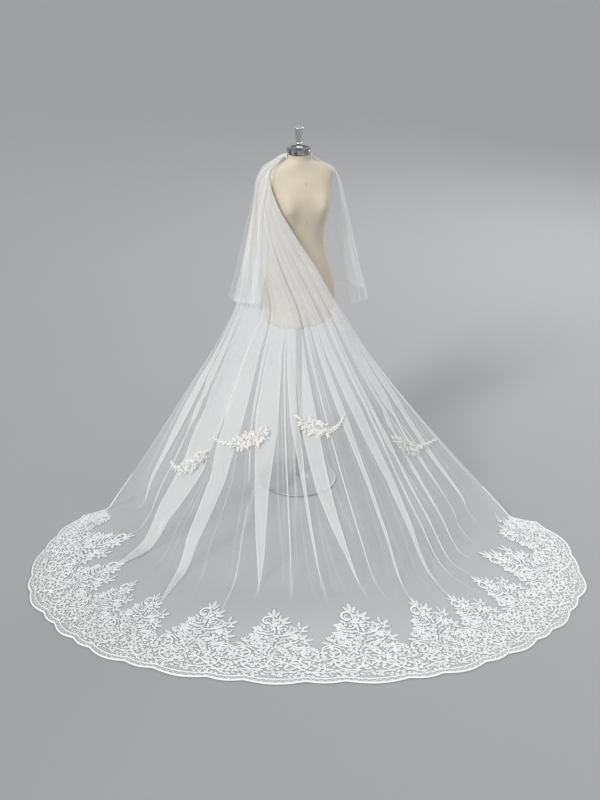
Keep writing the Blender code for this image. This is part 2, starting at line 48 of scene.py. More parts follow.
# How much of the train lies flat in front and at its side edges, how far the edges bow back, the
# powers of its fall at the hip and at the floor, in front and at the edges, and how sharply the
# edges differ from the rest.
FRONT_FLAT = 0.57
EDGE_FLAT = 0.10
EDGE_BOW = 0.15
FRONT_SAG = (1.45, 1.20)
EDGE_SAG = (1.90, 1.00)
EDGE_SHARPNESS = 8
# The dress form's turn, and the direction and spread of each side of its bust.
FORM_TURN = math.radians(20.0)
BUST_ANGLE = math.radians(34.0)
BUST_SPREAD = math.radians(17.0)

FormRow = namedtuple("FormRow", "height half_width front back bust")
FORM_ROWS = [FormRow(*row) for row in (
    (0.8155, 0.124, 0.082, 0.090, 0.000),
    (0.826, 0.146, 0.095, 0.105, 0.000),
    (0.865, 0.161, 0.104, 0.116, 0.000),
    (0.950, 0.168, 0.108, 0.122, 0.000),
    (1.050, 0.151, 0.099, 0.110, 0.000),
    (1.130, 0.127, 0.086, 0.086, 0.000),
    (1.200, 0.113, 0.078, 0.072, 0.000),
    (1.270, 0.121, 0.083, 0.077, 0.004),
    (1.325, 0.137, 0.092, 0.085, 0.018),
    (1.365, 0.146, 0.096, 0.090, 0.030),
    (1.400, 0.149, 0.095, 0.092, 0.024),
    (1.440, 0.152, 0.085, 0.090, 0.008),
    (1.475, 0.156, 0.072, 0.082, 0.000),
    (1.497, 0.158, 0.060, 0.070, 0.000),
    (1.515, 0.142, 0.053, 0.061, 0.000),
    (1.530, 0.114, 0.049, 0.055, 0.000),
    (1.543, 0.084, 0.047, 0.051, 0.000),
    (1.554, 0.058, 0.046, 0.048, 0.000),
    (1.562, 0.048, 0.045, 0.0465, 0.000),
    (1.5817, 0.046, 0.046, 0.046, 0.000),
)]

# The long tier on the body: three points of each row, from the nape over the shoulder to the hip.
Rung = namedtuple("Rung", "left middle right")
BODY_RUNGS = [Rung(*row) for row in (
    ((0.0120, 0.0505, 1.5646), (-0.0310, 0.0415, 1.5646), (-0.0520, 0.0040, 1.5646)),
    ((-0.016, 0.078, 1.558), (-0.060, 0.052, 1.561), (-0.068, 0.000, 1.561)),
    ((-0.086, 0.074, 1.530), (-0.103, 0.032, 1.539), (-0.086, -0.018, 1.545)),
    ((-0.145, 0.046, 1.506), (-0.138, 0.001, 1.521), (-0.105, -0.040, 1.525)),
    ((-0.170, 0.008, 1.475), (-0.158, -0.046, 1.493), (-0.118, -0.074, 1.490)),
    ((-0.186, -0.010, 1.390), (-0.160, -0.098, 1.395), (-0.090, -0.122, 1.400)),
    ((-0.209, -0.016, 1.270), (-0.150, -0.130, 1.270), (-0.017, -0.138, 1.270)),
    ((-0.237, -0.019, 1.120), (-0.118, -0.150, 1.120), (0.077, -0.136, 1.120)),
    ((-0.262, -0.020, 0.950), (-0.060, -0.188, 0.950), (0.168, -0.128, 0.950)),
)]
HIP_ROW = len(BODY_RUNGS) - 1
# The rows below: shares of the way from the hip to the floor, and of what lies flat.
FAN_RUNS = (0.20, 0.42, 0.63, 0.83, 1.00)
FLOOR_SHARES = (0.80, 0.58, 0.30, 0.0)
LAST_ROW = HIP_ROW + len(FAN_RUNS) + len(FLOOR_SHARES)

# The hem on the floor from its left end to its right, and where along it each repeat starts.
HEM = (
    (-0.965, -0.34), (-1.06, -0.50), (-1.115, -0.73), (-1.074, -0.994), (-0.788, -1.308),
    (-0.379, -1.462), (0.098, -1.497), (0.5595, -1.443), (0.949, -1.229), (1.157, -0.94),
    (1.177, -0.71), (1.145, -0.54), (1.058, -0.40),
)
HEM_STOPS = (0.0, 0.066, 0.148, 0.216, 0.272, 0.342, 0.430, 0.526, 0.624, 0.700, 0.764, 0.828, 0.907, 1.0)
# Where in a repeat the small scallop meets the wide one, and how far each stands out.
SCALLOP_CUSP = 0.19
WIDE_SCALLOP = 0.018
SMALL_SCALLOP = 0.010
# The height of the smooth cloth on the floor, and the lowest that its folds may reach.
LYING_HEIGHT = 0.0006
LOWEST = 0.0004
# How far above a surface a ray starts that looks for what is under it.
PROBE = 0.06

# The short tier from the nape down: its reach and height at each side, behind and in front, and the
# angles from the middle of the back at which its two front edges lie.
CapeRow = namedtuple(
    "CapeRow", "left_x left_z right_x right_z back_y back_z front_y front_z left_end right_end"
)
CAPE_ROWS = [CapeRow(*row) for row in (
    (0.0577, 1.5720, 0.0577, 1.5720, 0.0577, 1.5720, 0.0577, 1.5720, 100, 85),
    (0.076, 1.567, 0.078, 1.556, 0.084, 1.556, 0.070, 1.568, 112, 90),
    (0.108, 1.545, 0.118, 1.528, 0.116, 1.522, 0.096, 1.545, 124, 93),
    (0.145, 1.520, 0.152, 1.503, 0.134, 1.466, 0.122, 1.512, 133, 97),
    (0.168, 1.484, 0.169, 1.476, 0.144, 1.405, 0.140, 1.466, 138, 104),
    (0.188, 1.405, 0.186, 1.405, 0.155, 1.330, 0.150, 1.390, 142, 113),
    (0.216, 1.290, 0.213, 1.290, 0.172, 1.225, 0.168, 1.280, 145, 121),
    (0.257, 1.110, 0.254, 1.110, 0.195, 1.085, 0.190, 1.126, 147, 128),
    (0.300, 0.938, 0.300, 0.942, 0.215, 0.940, 0.208, 0.984, 148, 133),
)]

# ---- The folds of both tiers ----
# Each fold of the long tier: where its middle lies across the cloth and how many metres of it lie
# double, at the hip, the knee, the calf and the ankle, the place and row where it ends, the share
# of the cloth it takes up and the side it leans to.
Fold = namedtuple("Fold", "places widths end end_row cloth lean")
FOLDS = [Fold(*row) for row in (
    ((0.020, 0.022, 0.032, 0.044), (0.012, 0.030, 0.030, 0.015), 0.058, 12.8, 0.036, 1),
    ((0.060, 0.050, 0.089, 0.110), (0.020, 0.022, 0.018, 0.012), 0.136, 13.1, 0.030, 1),
    ((0.110, 0.090, 0.130, 0.155), (0.025, 0.014, 0.012, 0.008), 0.178, 13.4, 0.024, -1),
    ((0.200, 0.180, 0.218, 0.196), (0.045, 0.235, 0.165, 0.110), 0.206, 14.7, 0.130, 1),
    ((0.310, 0.3115, 0.334, 0.326), (0.035, 0.130, 0.085, 0.060), 0.350, 15.0, 0.086, 1),
    ((0.385, 0.395, 0.422, 0.430), (0.014, 0.010, 0.007, 0.005), 0.432, 13.6, 0.020, 1),
    ((0.440, 0.445, 0.4535, 0.466), (0.035, 0.116, 0.060, 0.030), 0.469, 13.0, 0.072, 1),
    ((0.500, 0.505, 0.512, 0.516), (0.012, 0.008, 0.006, 0.004), 0.516, 12.6, 0.018, -1),
    ((0.535, 0.538, 0.5495, 0.556), (0.018, 0.040, 0.014, 0.008), 0.560, 12.9, 0.030, -1),
    ((0.580, 0.581, 0.588, 0.605), (0.026, 0.070, 0.056, 0.016), 0.612, 12.9, 0.050, -1),
    ((0.640, 0.640, 0.638, 0.636), (0.020, 0.008, 0.006, 0.004), 0.636, 12.8, 0.020, -1),
    ((0.705, 0.712, 0.705, 0.690), (0.024, 0.036, 0.020, 0.010), 0.670, 13.7, 0.034, -1),
    ((0.760, 0.783, 0.780, 0.757), (0.026, 0.062, 0.044, 0.022), 0.730, 14.0, 0.046, -1),
    ((0.830, 0.833, 0.808, 0.792), (0.018, 0.012, 0.010, 0.006), 0.774, 13.8, 0.020, -1),
    ((0.862, 0.860, 0.837, 0.820), (0.016, 0.020, 0.012, 0.006), 0.806, 13.3, 0.020, -1),
    ((0.905, 0.909, 0.880, 0.860), (0.022, 0.026, 0.014, 0.006), 0.848, 12.9, 0.026, -1),
    ((0.940, 0.940, 0.916, 0.902), (0.018, 0.016, 0.010, 0.004), 0.892, 12.5, 0.020, -1),
    ((0.972, 0.972, 0.954, 0.944), (0.012, 0.026, 0.018, 0.006), 0.938, 12.4, 0.028, -1),
)]

# Each fold of the short tier: its place from the left front edge and how far it drifts on the way
# down, the width of its doubled band at the shoulder and at the hem, the share of the cloth that it
# takes up and the side it leans to.
CapeFold = namedtuple("CapeFold", "place drift shoulder_w hem_w cloth lean")
CAPE_FOLDS = [CapeFold(*row) for row in (
    (0.052, 0.020, 0.008, 0.022, 0.044, 1),
    (0.118, 0.012, 0.012, 0.034, 0.052, 1),
    (0.190, -0.010, 0.014, 0.040, 0.052, 1),
    (0.262, 0.008, 0.010, 0.022, 0.040, -1),
    (0.330, -0.006, 0.012, 0.036, 0.050, 1),
    (0.405, 0.006, 0.010, 0.028, 0.046, -1),
    (0.480, -0.004, 0.012, 0.040, 0.050, 1),
    (0.555, 0.006, 0.010, 0.030, 0.046, -1),
    (0.630, 0.004, 0.012, 0.038, 0.050, 1),
    (0.705, -0.006, 0.010, 0.028, 0.046, -1),
    (0.775, 0.010, 0.012, 0.034, 0.046, 1),
    (0.842, 0.004, 0.014, 0.046, 0.046, -1),
    (0.900, -0.006, 0.010, 0.026, 0.040, -1),
    (0.948, 0.000, 0.006, 0.012, 0.030, 1),
)]

# The columns and lines of the two meshes.
TRAIN_COLUMNS = 880
TRAIN_ROWS = 108
CAPE_COLUMNS = 520
CAPE_LINES = 56


# ---- Curves and surfaces ----
def spline(knots, values, at):
    """A smooth curve through the values at the knots, read at the places given."""
    knots = np.asarray(knots, dtype=float)
    values = np.asarray(values, dtype=float)
    shape = values.shape[1:]
    values = values.reshape(len(knots), -1)
    slopes = np.gradient(values, knots, axis=0)
    first = np.clip(np.searchsorted(knots, at, side="right") - 1, 0, len(knots) - 2)
    span = (knots[first + 1] - knots[first])[:, None]
    s = ((at - knots[first]) / span[:, 0])[:, None]
    start = values[first] * (1 + 2 * s) * (1 - s) ** 2 + slopes[first] * span * s * (1 - s) ** 2
    end = values[first + 1] * s * s * (3 - 2 * s) - slopes[first + 1] * span * s * s * (1 - s)
    return (start + end).reshape(-1, *shape)


def running(steps):
    """The distance run after each step, from 0."""
    return np.concatenate(([0], np.cumsum(steps)))


def path_run(points):
    return running(np.linalg.norm(np.diff(points, axis=0), axis=1))


def grid_run(rows):
    """The mean distance run down a grid at each of its rows."""
    return running(np.linalg.norm(np.diff(rows, axis=0), axis=2).mean(axis=1))


def along(points, shares):
    """Places at the given shares of the length of a smooth curve through the points."""
    points = np.asarray(points, dtype=float)
    fine = spline(np.arange(len(points)), points, np.linspace(0, len(points) - 1, 600))
    run = path_run(fine)
    return np.stack([np.interp(run[-1] * shares, run, fine[:, axis]) for axis in range(points.shape[1])], axis=1)


def resampled(rows, lines):
    """A grid read smoothly at fractional rows."""
    knots = grid_run(rows)
    return spline(knots, rows, np.interp(lines, np.arange(len(knots)), knots))


def unit(vectors):
    return vectors / np.maximum(np.linalg.norm(vectors, axis=-1, keepdims=True), 1e-12)


def grid_normals(points):
    """Outward normals of a grid whose rows run down the cloth and columns across it."""
    return unit(np.cross(np.gradient(points, axis=0), np.gradient(points, axis=1)))


def between(grid, rows, columns):
    """Values of a grid at fractional rows and columns."""
    r = np.clip(rows.astype(int), 0, grid.shape[0] - 2)
    c = np.clip(columns.astype(int), 0, grid.shape[1] - 2)
    dr = np.clip(rows - r, 0, 1)[..., None]
    dc = np.clip(columns - c, 0, 1)[..., None]
    upper = grid[r, c] * (1 - dc) + grid[r, c + 1] * dc
    lower = grid[r + 1, c] * (1 - dc) + grid[r + 1, c + 1] * dc
    return upper * (1 - dr) + lower * dr


def train_ribs(hip, hem, flat):
    """A dense line from hip to hem for each column, with its distance run along it."""
    ribs = []
    share = np.linspace(0, 1, 161)
    side = np.abs(np.linspace(-1, 1, len(hip)))
    for start, end, lying, near_side in zip(hip, hem, flat, side):
        near_edge = near_side ** EDGE_SHARPNESS
        high, low = (front + (side_sag - front) * near_side ** 3 for front, side_sag in zip(FRONT_SAG, EDGE_SAG))
        x = start[0] + (end[0] - start[0]) * share
        bow = EDGE_BOW * near_edge * 27 / 4 * share * (1 - share) ** 2
        y = start[1] + (end[1] - start[1]) * share + bow
        ground = running(np.hypot(np.diff(x), np.diff(y)))
        hanging = ground[-1] - lying
        left = np.clip(1 - ground / hanging, 0, 1)
        z = LYING_HEIGHT + (start[2] - LYING_HEIGHT) * left ** (low + (high - low) * left)
        line = np.stack([x, y, z], axis=1)
        ribs.append((path_run(line), line))
    return ribs


def read_ribs(ribs, from_hem):
    """Points at the given distance from the hem along each rib; past the hem they run on straight."""
    points = []
    for (run, line), distance in zip(ribs, from_hem):
        ahead = unit(line[-1] - line[-2])
        point = np.array([np.interp(run[-1] - distance, run, line[:, axis]) for axis in range(3)])
        points.append(point + ahead * max(-distance, 0))
    return np.array(points)


def scallops(place):
    """How far the hem stands out at a place counted in repeats."""
    phase = place % 1.0
    near_valley = np.where(phase > 0.5, phase - 1, phase)
    wide = WIDE_SCALLOP * np.sin(math.pi * (phase - SCALLOP_CUSP) / (1 - 2 * SCALLOP_CUSP))
    small = SMALL_SCALLOP * np.cos(math.pi * near_valley / (2 * SCALLOP_CUSP))
    return np.maximum(np.where(np.abs(near_valley) > SCALLOP_CUSP, wide, small), 0)


# The columns of the smooth train, counted in repeats.
COLUMN_PLACES = np.linspace(0, REPEATS, 4 * (SOLID_COLUMNS - 1) + 1)


def hem_shares(places):
    return np.clip(spline(np.arange(REPEATS + 1), np.array(HEM_STOPS)[:, None], places)[:, 0], 0, 1)


def train_surface():
    """The long tier without its folds: a grid of rows and columns, and its ribs from hip to hem."""
    columns = len(COLUMN_PLACES)
    across = np.linspace(0, 1, columns)
    rows = [spline((0, 0.5, 1), (rung.left, rung.middle, rung.right), across) for rung in BODY_RUNGS]
    edge = np.abs(np.linspace(-1, 1, columns)) ** EDGE_SHARPNESS
    flat = FRONT_FLAT + (EDGE_FLAT - FRONT_FLAT) * edge
    ribs = train_ribs(rows[-1], along(HEM, hem_shares(COLUMN_PLACES)), flat)
    length = np.array([run[-1] for run, _ in ribs])
    for share in FAN_RUNS:
        rows.append(read_ribs(ribs, flat + (length - flat) * (1 - share)))
    for share in FLOOR_SHARES[:-1]:
        rows.append(read_ribs(ribs, flat * share))
    rows.append(read_ribs(ribs, -scallops(COLUMN_PLACES)))
    return np.stack(rows), ribs, length


def lift_clear(points, trees, clearance):
    """Lifts a grid along its normals until it lies clear of what is under it."""
    normals = grid_normals(points)
    lift = np.zeros(points.shape[:2])
    for row in range(points.shape[0]):
        for column in range(points.shape[1]):
            normal = Vector(normals[row, column])
            start = Vector(points[row, column]) + normal * PROBE
            for tree in trees:
                hit = tree.ray_cast(start, -normal, PROBE + clearance)[3]
                if hit is not None:
                    lift[row, column] = max(lift[row, column], PROBE + clearance - hit)
    for _ in range(3):
        smooth = lift.copy()
        smooth[1:-1] = np.maximum(lift[1:-1], (lift[:-2] + lift[2:]) / 2)
        smooth[:, 1:-1] = np.maximum(smooth[:, 1:-1], (smooth[:, :-2] + smooth[:, 2:]) / 2)
        lift = smooth
    return points + normals * lift[..., None]


# How strongly a fold pulls its cloth sideways, and the share of that cloth that then lies double.
LAPS = np.linspace(1.0, 14.0, 400)
LAP_WIDTHS = (np.sqrt(LAPS ** 2 - 1) - np.arccos(1 / LAPS)) / math.pi
# How wide the bright line is where cloth turns back on itself.
CREASE_WIDTH = 0.0028


def doubled_fold(place, middle, cloth, speed, width, share):
    """How far a fold moves the cloth sideways, in shares, and how its layers lie over each other.

    place and middle are shares across the cloth, speed metres for a share, width the metres that
    lie double, and share from 0 where there is no fold to 1 where it is whole."""
    t = (place - middle) / cloth
    inside = np.abs(t) < 0.5
    lap = np.interp(width / (cloth * speed), LAP_WIDTHS, LAPS) * share
    sideways = -lap * cloth / (2 * math.pi) * np.sin(2 * math.pi * t)
    wave = (np.sin(2 * math.pi * t) - 0.3 * np.sin(4 * math.pi * t)) / 1.136
    return np.where(inside, sideways, 0), np.where(inside, wave, 0), np.where(inside, np.cos(math.pi * t) ** 2, 0)


class Drape:
    """A smooth sheet and the folds laid in it, as how far they move each point sideways and out."""

    def __init__(self, smooth, lines, columns):
        self.smooth = smooth
        self.normals = grid_normals(smooth)
        self.line = lines[:, None]
        self.place = np.linspace(0, 1, columns)[None, :]
        self.speed = np.linalg.norm(np.diff(smooth, axis=1), axis=2).sum(axis=1)[:, None]
        self.shift = np.zeros((len(lines), columns))
        self.height = np.zeros_like(self.shift)

    def fold(self, middle, cloth, width, share, rise, lean, plump=1):
        """Lays one doubled fold: rise is how far it stands out, and lean the side it turns to."""
        sideways, wave, window = doubled_fold(self.place, middle, cloth, self.speed, width, share)
        self.shift += sideways
        self.height += rise * window * (1 + lean * wave) * plump

    def ripple(self, waves, size):
        """Waves across the cloth that drift on the way down: frequency, turn, drift and share."""
        self.height += size * (1 + sum(
            np.sin(math.tau * (self.place * frequency + turn) + self.line * drift) * share
            for frequency, turn, drift, share in waves
        ))

    def settle(self):
        """Moves the cloth into its folds and gives its points; the cover is worked out from there."""
        last = self.smooth.shape[1] - 1
        self.columns = np.clip(self.place + self.shift, 0, 1) * last
        rows = np.broadcast_to(np.arange(len(self.line))[:, None], self.columns.shape).astype(float)
        self.steps = np.gradient(self.columns, axis=1) * (self.speed / last)
        outward = between(self.normals, rows, self.columns) * self.height[..., None]
        return between(self.smooth, rows, self.columns) + outward

    def creases(self):
        """1 along the edges where folded cloth turns back on itself, and 0 elsewhere."""
        bend = np.abs(np.gradient(self.steps, axis=1))
        return np.exp(-self.steps ** 2 / np.maximum(2 * bend * CREASE_WIDTH, 1e-12))

    def piece(self, name, points, cover, width, side, material, nodes):
        """The finished sheet. Its flat coordinates are metres across, metres down and its side."""
        flat = self.place * width, grid_run(self.smooth)[:, None], np.full_like(cover, side)
        return cloth_piece(name, points, cover, np.stack(np.broadcast_arrays(*flat), axis=2), material, nodes)


# ---- Finishes ----
class Value:
    """A shader socket that can be written in an expression."""

    def __init__(self, finish, socket):
        self.finish = finish
        self.socket = socket

    def mixed(self, operation, other, flipped=False):
        pair = (other, self) if flipped else (self, other)
        return self.finish.node("ShaderNodeMath", {"operation": operation}, {0: pair[0], 1: pair[1]})[0]

    def __add__(self, other):
        return self.mixed("ADD", other)

    __radd__ = __add__

    def __sub__(self, other):
        return self.mixed("SUBTRACT", other)

    def __rsub__(self, other):
        return self.mixed("SUBTRACT", other, True)

    def __mul__(self, other):
        return self.mixed("MULTIPLY", other)

    __rmul__ = __mul__

    def magnitude(self):
        return self.finish.node("ShaderNodeMath", {"operation": "ABSOLUTE"}, {0: self})[0]

    def below(self, limit, soft):
        """1 where the value is well below the limit, and 0 above it."""
        settings = {"interpolation_type": "SMOOTHSTEP"}
        sockets = {"Value": self, "From Min": limit - soft, "From Max": limit + soft, "To Min": 1.0, "To Max": 0.0}
        return self.finish.node("ShaderNodeMapRange", settings, sockets)[0]

    def clamped(self):
        return self.finish.node("ShaderNodeClamp", {}, {"Value": self})[0]


# Which output to read of an attribute, and of the texture coordinates.
VECTOR, NUMBER = 1, 2
OBJECT = 3


class Finish:
    """A material and its nodes."""

    def __init__(self, name):
        self.material = bpy.data.materials.new(name)
        self.material.use_nodes = True
        self.tree = self.material.node_tree
        self.shader = self.tree.nodes["Principled BSDF"]

    def put(self, socket, value):
        if isinstance(value, Value):
            self.tree.links.new(value.socket, socket)
        elif hasattr(value, "__len__") and len(value) == 3 and socket.type == "RGBA":
            socket.default_value = (*value, 1.0)
        else:
            socket.default_value = value

    def node(self, kind, settings, sockets):
        """A new node with its settings and sockets, as the list of its outputs."""
        made = self.tree.nodes.new(kind)
        for name, value in settings.items():
            setattr(made, name, value)
        for name, value in sockets.items():
            self.put(made.inputs[name], value)
        return [Value(self, output) for output in made.outputs if output.enabled]

    def place(self):
        return self.node("ShaderNodeTexCoord", {}, {})[OBJECT]

    def attribute(self, name):
        """A named attribute as its colour, vector, number and alpha."""
        return self.node("ShaderNodeAttribute", {"attribute_name": name}, {})

    def split(self, vector):
        return self.node("ShaderNodeSeparateXYZ", {}, {0: vector})

    def noise(self, vector, scale, detail=2.0, roughness=0.5):
        sockets = {"Vector": vector, "Scale": scale, "Detail": detail, "Roughness": roughness}
        return self.node("ShaderNodeTexNoise", {"noise_dimensions": "3D"}, sockets)[0]

    def grain(self, vector, scales, detail, roughness=0.5):
        """Noise with its own scale along each axis."""
        stretched = self.node("ShaderNodeVectorMath", {"operation": "MULTIPLY"}, {0: vector, 1: scales})[0]
        return self.noise(stretched, 1.0, detail, roughness)

    def blend(self, factor, first, second):
        """A mix of two colours, whose sockets on this node are numbers 6 and 7."""
        return self.node("ShaderNodeMix", {"data_type": "RGBA"}, {0: factor, 6: first, 7: second})[0]

    def bump(self, height, strength, distance):
        sockets = {"Strength": strength, "Distance": distance, "Height": height}
        self.put(self.shader.inputs["Normal"], self.node("ShaderNodeBump", {}, sockets)[0])

    def set(self, **values):
        for name, value in values.items():
            self.put(self.shader.inputs[name.replace("_", " ")], value)
        return self.material


def make_tulle(name, tint, dense_tint):
    """Sheer net: its cover comes from how tightly it is gathered, with fine lengthwise streaks."""
    finish = Finish(name)
    cloth = finish.attribute("cloth")[VECTOR]
    cover = finish.attribute("cover")[NUMBER]
    broad = finish.grain(cloth, (9.0, 0.55, 1.0), 3.0, 0.55)
    fine = finish.grain(cloth, (70.0, 1.2, 1.0), 3.0, 0.6)
    grain = finish.grain(cloth, (520.0, 520.0, 1.0), 1.0, 0.5)
    streaks = 0.72 + 0.26 * broad + 0.14 * fine + 0.12 * grain
    alpha = (cover * streaks).clamped()
    dense = (cover * 5.0 - 1.4).clamped()
    material = finish.set(
        Base_Color=finish.blend(dense, tint, dense_tint), Roughness=0.85, Alpha=alpha,
        Sheen_Weight=0.25, Sheen_Roughness=0.45, Specular_IOR_Level=0.2,
    )
    material.use_transparency_overlap = True
    return material


def make_lace(name, tint, shade):
    """Corded embroidery: packed stitches with a soft ridge, a little darker between the cords."""
    finish = Finish(name)
    place = finish.place()
    stitches = finish.grain(place, (900.0, 900.0, 500.0), 2.0, 0.6)
    patches = finish.noise(place, 60.0, 2.0)
    depth = finish.attribute("filling")[NUMBER]
    colour = finish.blend((depth * 0.80 + patches * 0.40 - 0.10).clamped(), tint, shade)
    finish.bump(stitches, 0.5, 0.0008)
    return finish.set(
        Base_Color=colour, Roughness=0.62, Sheen_Weight=0.2, Sheen_Roughness=0.5, Specular_IOR_Level=0.35,
    )


def make_form_cover():
    """Plain linen over the form, with its centre, side-front and waist seams and two chalk marks."""
    finish = Finish("form_linen")
    place = finish.place()
    sine, cosine, height = finish.split(finish.attribute("around")[VECTOR])
    threads = finish.grain(place, (700.0, 700.0, 2200.0), 1.0)
    threads_up = finish.grain(place, (2200.0, 2200.0, 500.0), 1.0)
    blotches = finish.noise(place, 7.0, 3.0)
    front = (0 - cosine).below(0.0, 0.05)
    centre = sine.magnitude().below(0.006, 0.004) * front
    waist_pull = (height - 1.20) * 0.55
    side_front = (sine.magnitude() - 0.60 - waist_pull * waist_pull * 3.0).magnitude().below(0.008, 0.005)
    waist = (height - 1.198).magnitude().below(0.0008, 0.0006)
    seams = (centre + side_front * 0.8 + waist * 0.9).clamped()
    upper_mark = (height - 1.470).magnitude().below(0.007, 0.002) * (sine - 0.035).magnitude().below(0.012, 0.004)
    lower_mark = (height - 1.302).magnitude().below(0.006, 0.002) * (sine - 0.020).magnitude().below(0.012, 0.004)
    marks = (upper_mark + lower_mark).clamped() * front
    linen = finish.blend(blotches, (0.60, 0.53, 0.415), (0.65, 0.585, 0.47))
    seamed = finish.blend(seams * 0.10, linen, (0.42, 0.36, 0.27))
    marked = finish.blend(marks * 0.6, seamed, (0.25, 0.21, 0.17))
    finish.bump(threads * 0.5 + threads_up * 0.5 - seams * 0.5, 0.3, 0.0006)
    return finish.set(Base_Color=marked, Roughness=0.82, Sheen_Weight=0.15, Specular_IOR_Level=0.25)


def make_chrome():
    """Dark chrome with painted reflections: light patches painted round the band, and its top kept dark as a painted
    dark reflection.
    """
    finish = Finish("dark_chrome_painted_reflections")
    place = finish.place()
    smears = finish.noise(place, 45.0, 4.0, 0.6)
    # Painted reflections: stretched noise picks the patches of the band that take the light colour, and the top face
    # above 1.6045 m keeps the dark colour.
    reflection_patches = finish.grain(place, (70.0, 70.0, 22.0), 3.0, 0.6)
    bright = (1 - reflection_patches.below(0.50, 0.10)) * finish.split(place)[2].below(1.6045, 0.0012)
    colour = finish.blend(bright, (0.15, 0.15, 0.155), (0.62, 0.62, 0.63))
    return finish.set(Base_Color=colour, Metallic=1.0, Roughness=smears * 0.14 + 0.10)


def make_stand_steel():
    """Brushed steel, duller than the neck cap."""
    finish = Finish("brushed_steel")
    brushed = finish.grain(finish.place(), (220.0, 220.0, 30.0), 3.0, 0.6)
    finish.bump(brushed, 0.08, 0.0003)
    return finish.set(Base_Color=(0.35, 0.355, 0.36), Metallic=1.0, Roughness=brushed * 0.14 + 0.52)


def make_satin_metal():
    finish = Finish("satin_silver")
    place = finish.place()
    turned = finish.grain(place, (8.0, 8.0, 1400.0), 2.0)
    smears = finish.noise(place, 60.0, 3.0)
    finish.bump(turned, 0.15, 0.0003)
    return finish.set(Base_Color=(0.66, 0.655, 0.645), Metallic=1.0, Roughness=smears * 0.14 + 0.20)


def make_floor_finish():
    finish = Finish("studio_floor")
    cloud = finish.noise(finish.place(), 0.8, 2.0)
    colour = finish.blend(cloud, (0.318, 0.322, 0.328), (0.332, 0.336, 0.342))
    return finish.set(Base_Color=colour, Roughness=0.9, Specular_IOR_Level=0.1)


# ---- Making pieces ----
MERGE_DISTANCE = 0.00001


def mesh_of(bm, name):
    """Turns a bmesh into a mesh and frees it."""
    mesh = bpy.data.meshes.new(name)
    bm.to_mesh(mesh)
    bm.free()
    return mesh


def placed(name, data):
    """A new object in the scene."""
    made = bpy.data.objects.new(name, data)
    bpy.context.scene.collection.objects.link(made)
    return made


def finished(name, bm, material, slot, *nodes):
    """A smooth piece of one material, which stands for the given nodes of the frame."""
    piece = placed(name, mesh_of(bm, name))
    piece.data.shade_smooth()
    piece.data.materials.append(material)
    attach(piece, "root")
    if nodes:
        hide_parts(*nodes)
    return piece


def move_points(piece, points):
    piece.data.vertices.foreach_set("co", points.astype(np.float32).ravel())
    piece.data.update()


def points_of(piece):
    points = np.empty(len(piece.data.vertices) * 3, np.float32)
    piece.data.vertices.foreach_get("co", points)
    return points.reshape(-1, 3).astype(float)


def cloth_grid(lines, columns):
    """A flat grid as a bmesh, and the index of its vertices by line and column."""
    bm = bmesh.new()
    bmesh.ops.create_grid(bm, x_segments=columns - 1, y_segments=lines - 1, size=1.0)
    flat = np.array([vertex.co for vertex in bm.verts])
    column = np.rint((flat[:, 0] + 1) / 2 * (columns - 1)).astype(int)
    line = np.rint((1 - flat[:, 1]) / 2 * (lines - 1)).astype(int)
    index = np.empty((lines, columns), dtype=int)
    index[line, column] = np.arange(len(flat))
    return bm, index


def add_strip(bm, lines):
    """Adds a strip of faces through lines of points, all of one length."""
    strip, index = cloth_grid(len(lines), len(lines[0]))
    strip.verts.ensure_lookup_table()
    for at, points in zip(index, lines):
        for i, point in zip(at, points):
            strip.verts[i].co = point
    mesh = mesh_of(strip, "strip")
    bm.from_mesh(mesh)
    bpy.data.meshes.remove(mesh)


def add_attribute(piece, name, kind, values):
    layer = piece.data.attributes.new(name, kind, "POINT")
    layer.data.foreach_set("vector" if kind == "FLOAT_VECTOR" else "value", values.astype(np.float32).ravel())


def cloth_piece(name, points, cover, cloth, material, nodes):
    """A sheet of cloth from a grid of points, with its cover and its own flat coordinates."""
    bm, index = cloth_grid(*points.shape[:2])
    piece = finished(name, bm, material, "tulle", *nodes)
    order = np.argsort(index.ravel())
    move_points(piece, points.reshape(-1, 3)[order])
    add_attribute(piece, "cover", "FLOAT", cover.ravel()[order])
    add_attribute(piece, "cloth", "FLOAT_VECTOR", cloth.reshape(-1, 3)[order])
    return piece


def tree_of(piece):
    return BVHTree.FromObject(piece, bpy.context.evaluated_depsgraph_get())


def turned(name, profile, material, node, slot, steps=72):
    """A body spun from its outline, given as radius and height from top to bottom."""
    bm = bmesh.new()
    line = [bm.verts.new((radius, 0.0, height)) for radius, height in profile]
    edges = [bm.edges.new(pair) for pair in zip(line, line[1:])]
    bmesh.ops.spin(bm, geom=line + edges, cent=(0, 0, 0), axis=(0, 0, 1), dvec=(0, 0, 0),
                   angle=math.tau, steps=steps, use_merge=True, use_duplicate=False)
    bmesh.ops.remove_doubles(bm, verts=bm.verts, dist=MERGE_DISTANCE)
    bmesh.ops.recalc_face_normals(bm, faces=bm.faces)
    piece = finished(name, bm, material, slot, node)
    piece.data.set_sharp_from_angle(angle=math.radians(38))
    return piece


# ---- Dress form and stand ----
def form_points(row, angles):
    """Points round the form at one height, from the middle of its back."""
    sine, cosine = np.sin(angles), np.cos(angles)
    height, half_width, front, back, bust = row
    depth = np.where(cosine > 0, front, back) * cosine
    for side in (-1, 1):
        depth = depth + bust * np.exp(-((angles - side * BUST_ANGLE) / BUST_SPREAD) ** 2)
    width = half_width * sine
    turn_x, turn_y = math.cos(FORM_TURN), math.sin(FORM_TURN)
    x = width * turn_x + depth * turn_y
    y = width * turn_y - depth * turn_x
    return np.stack([x, y, np.full_like(x, height)], axis=1)


FORM_SEGMENTS = 112
FORM_LEVELS = 120


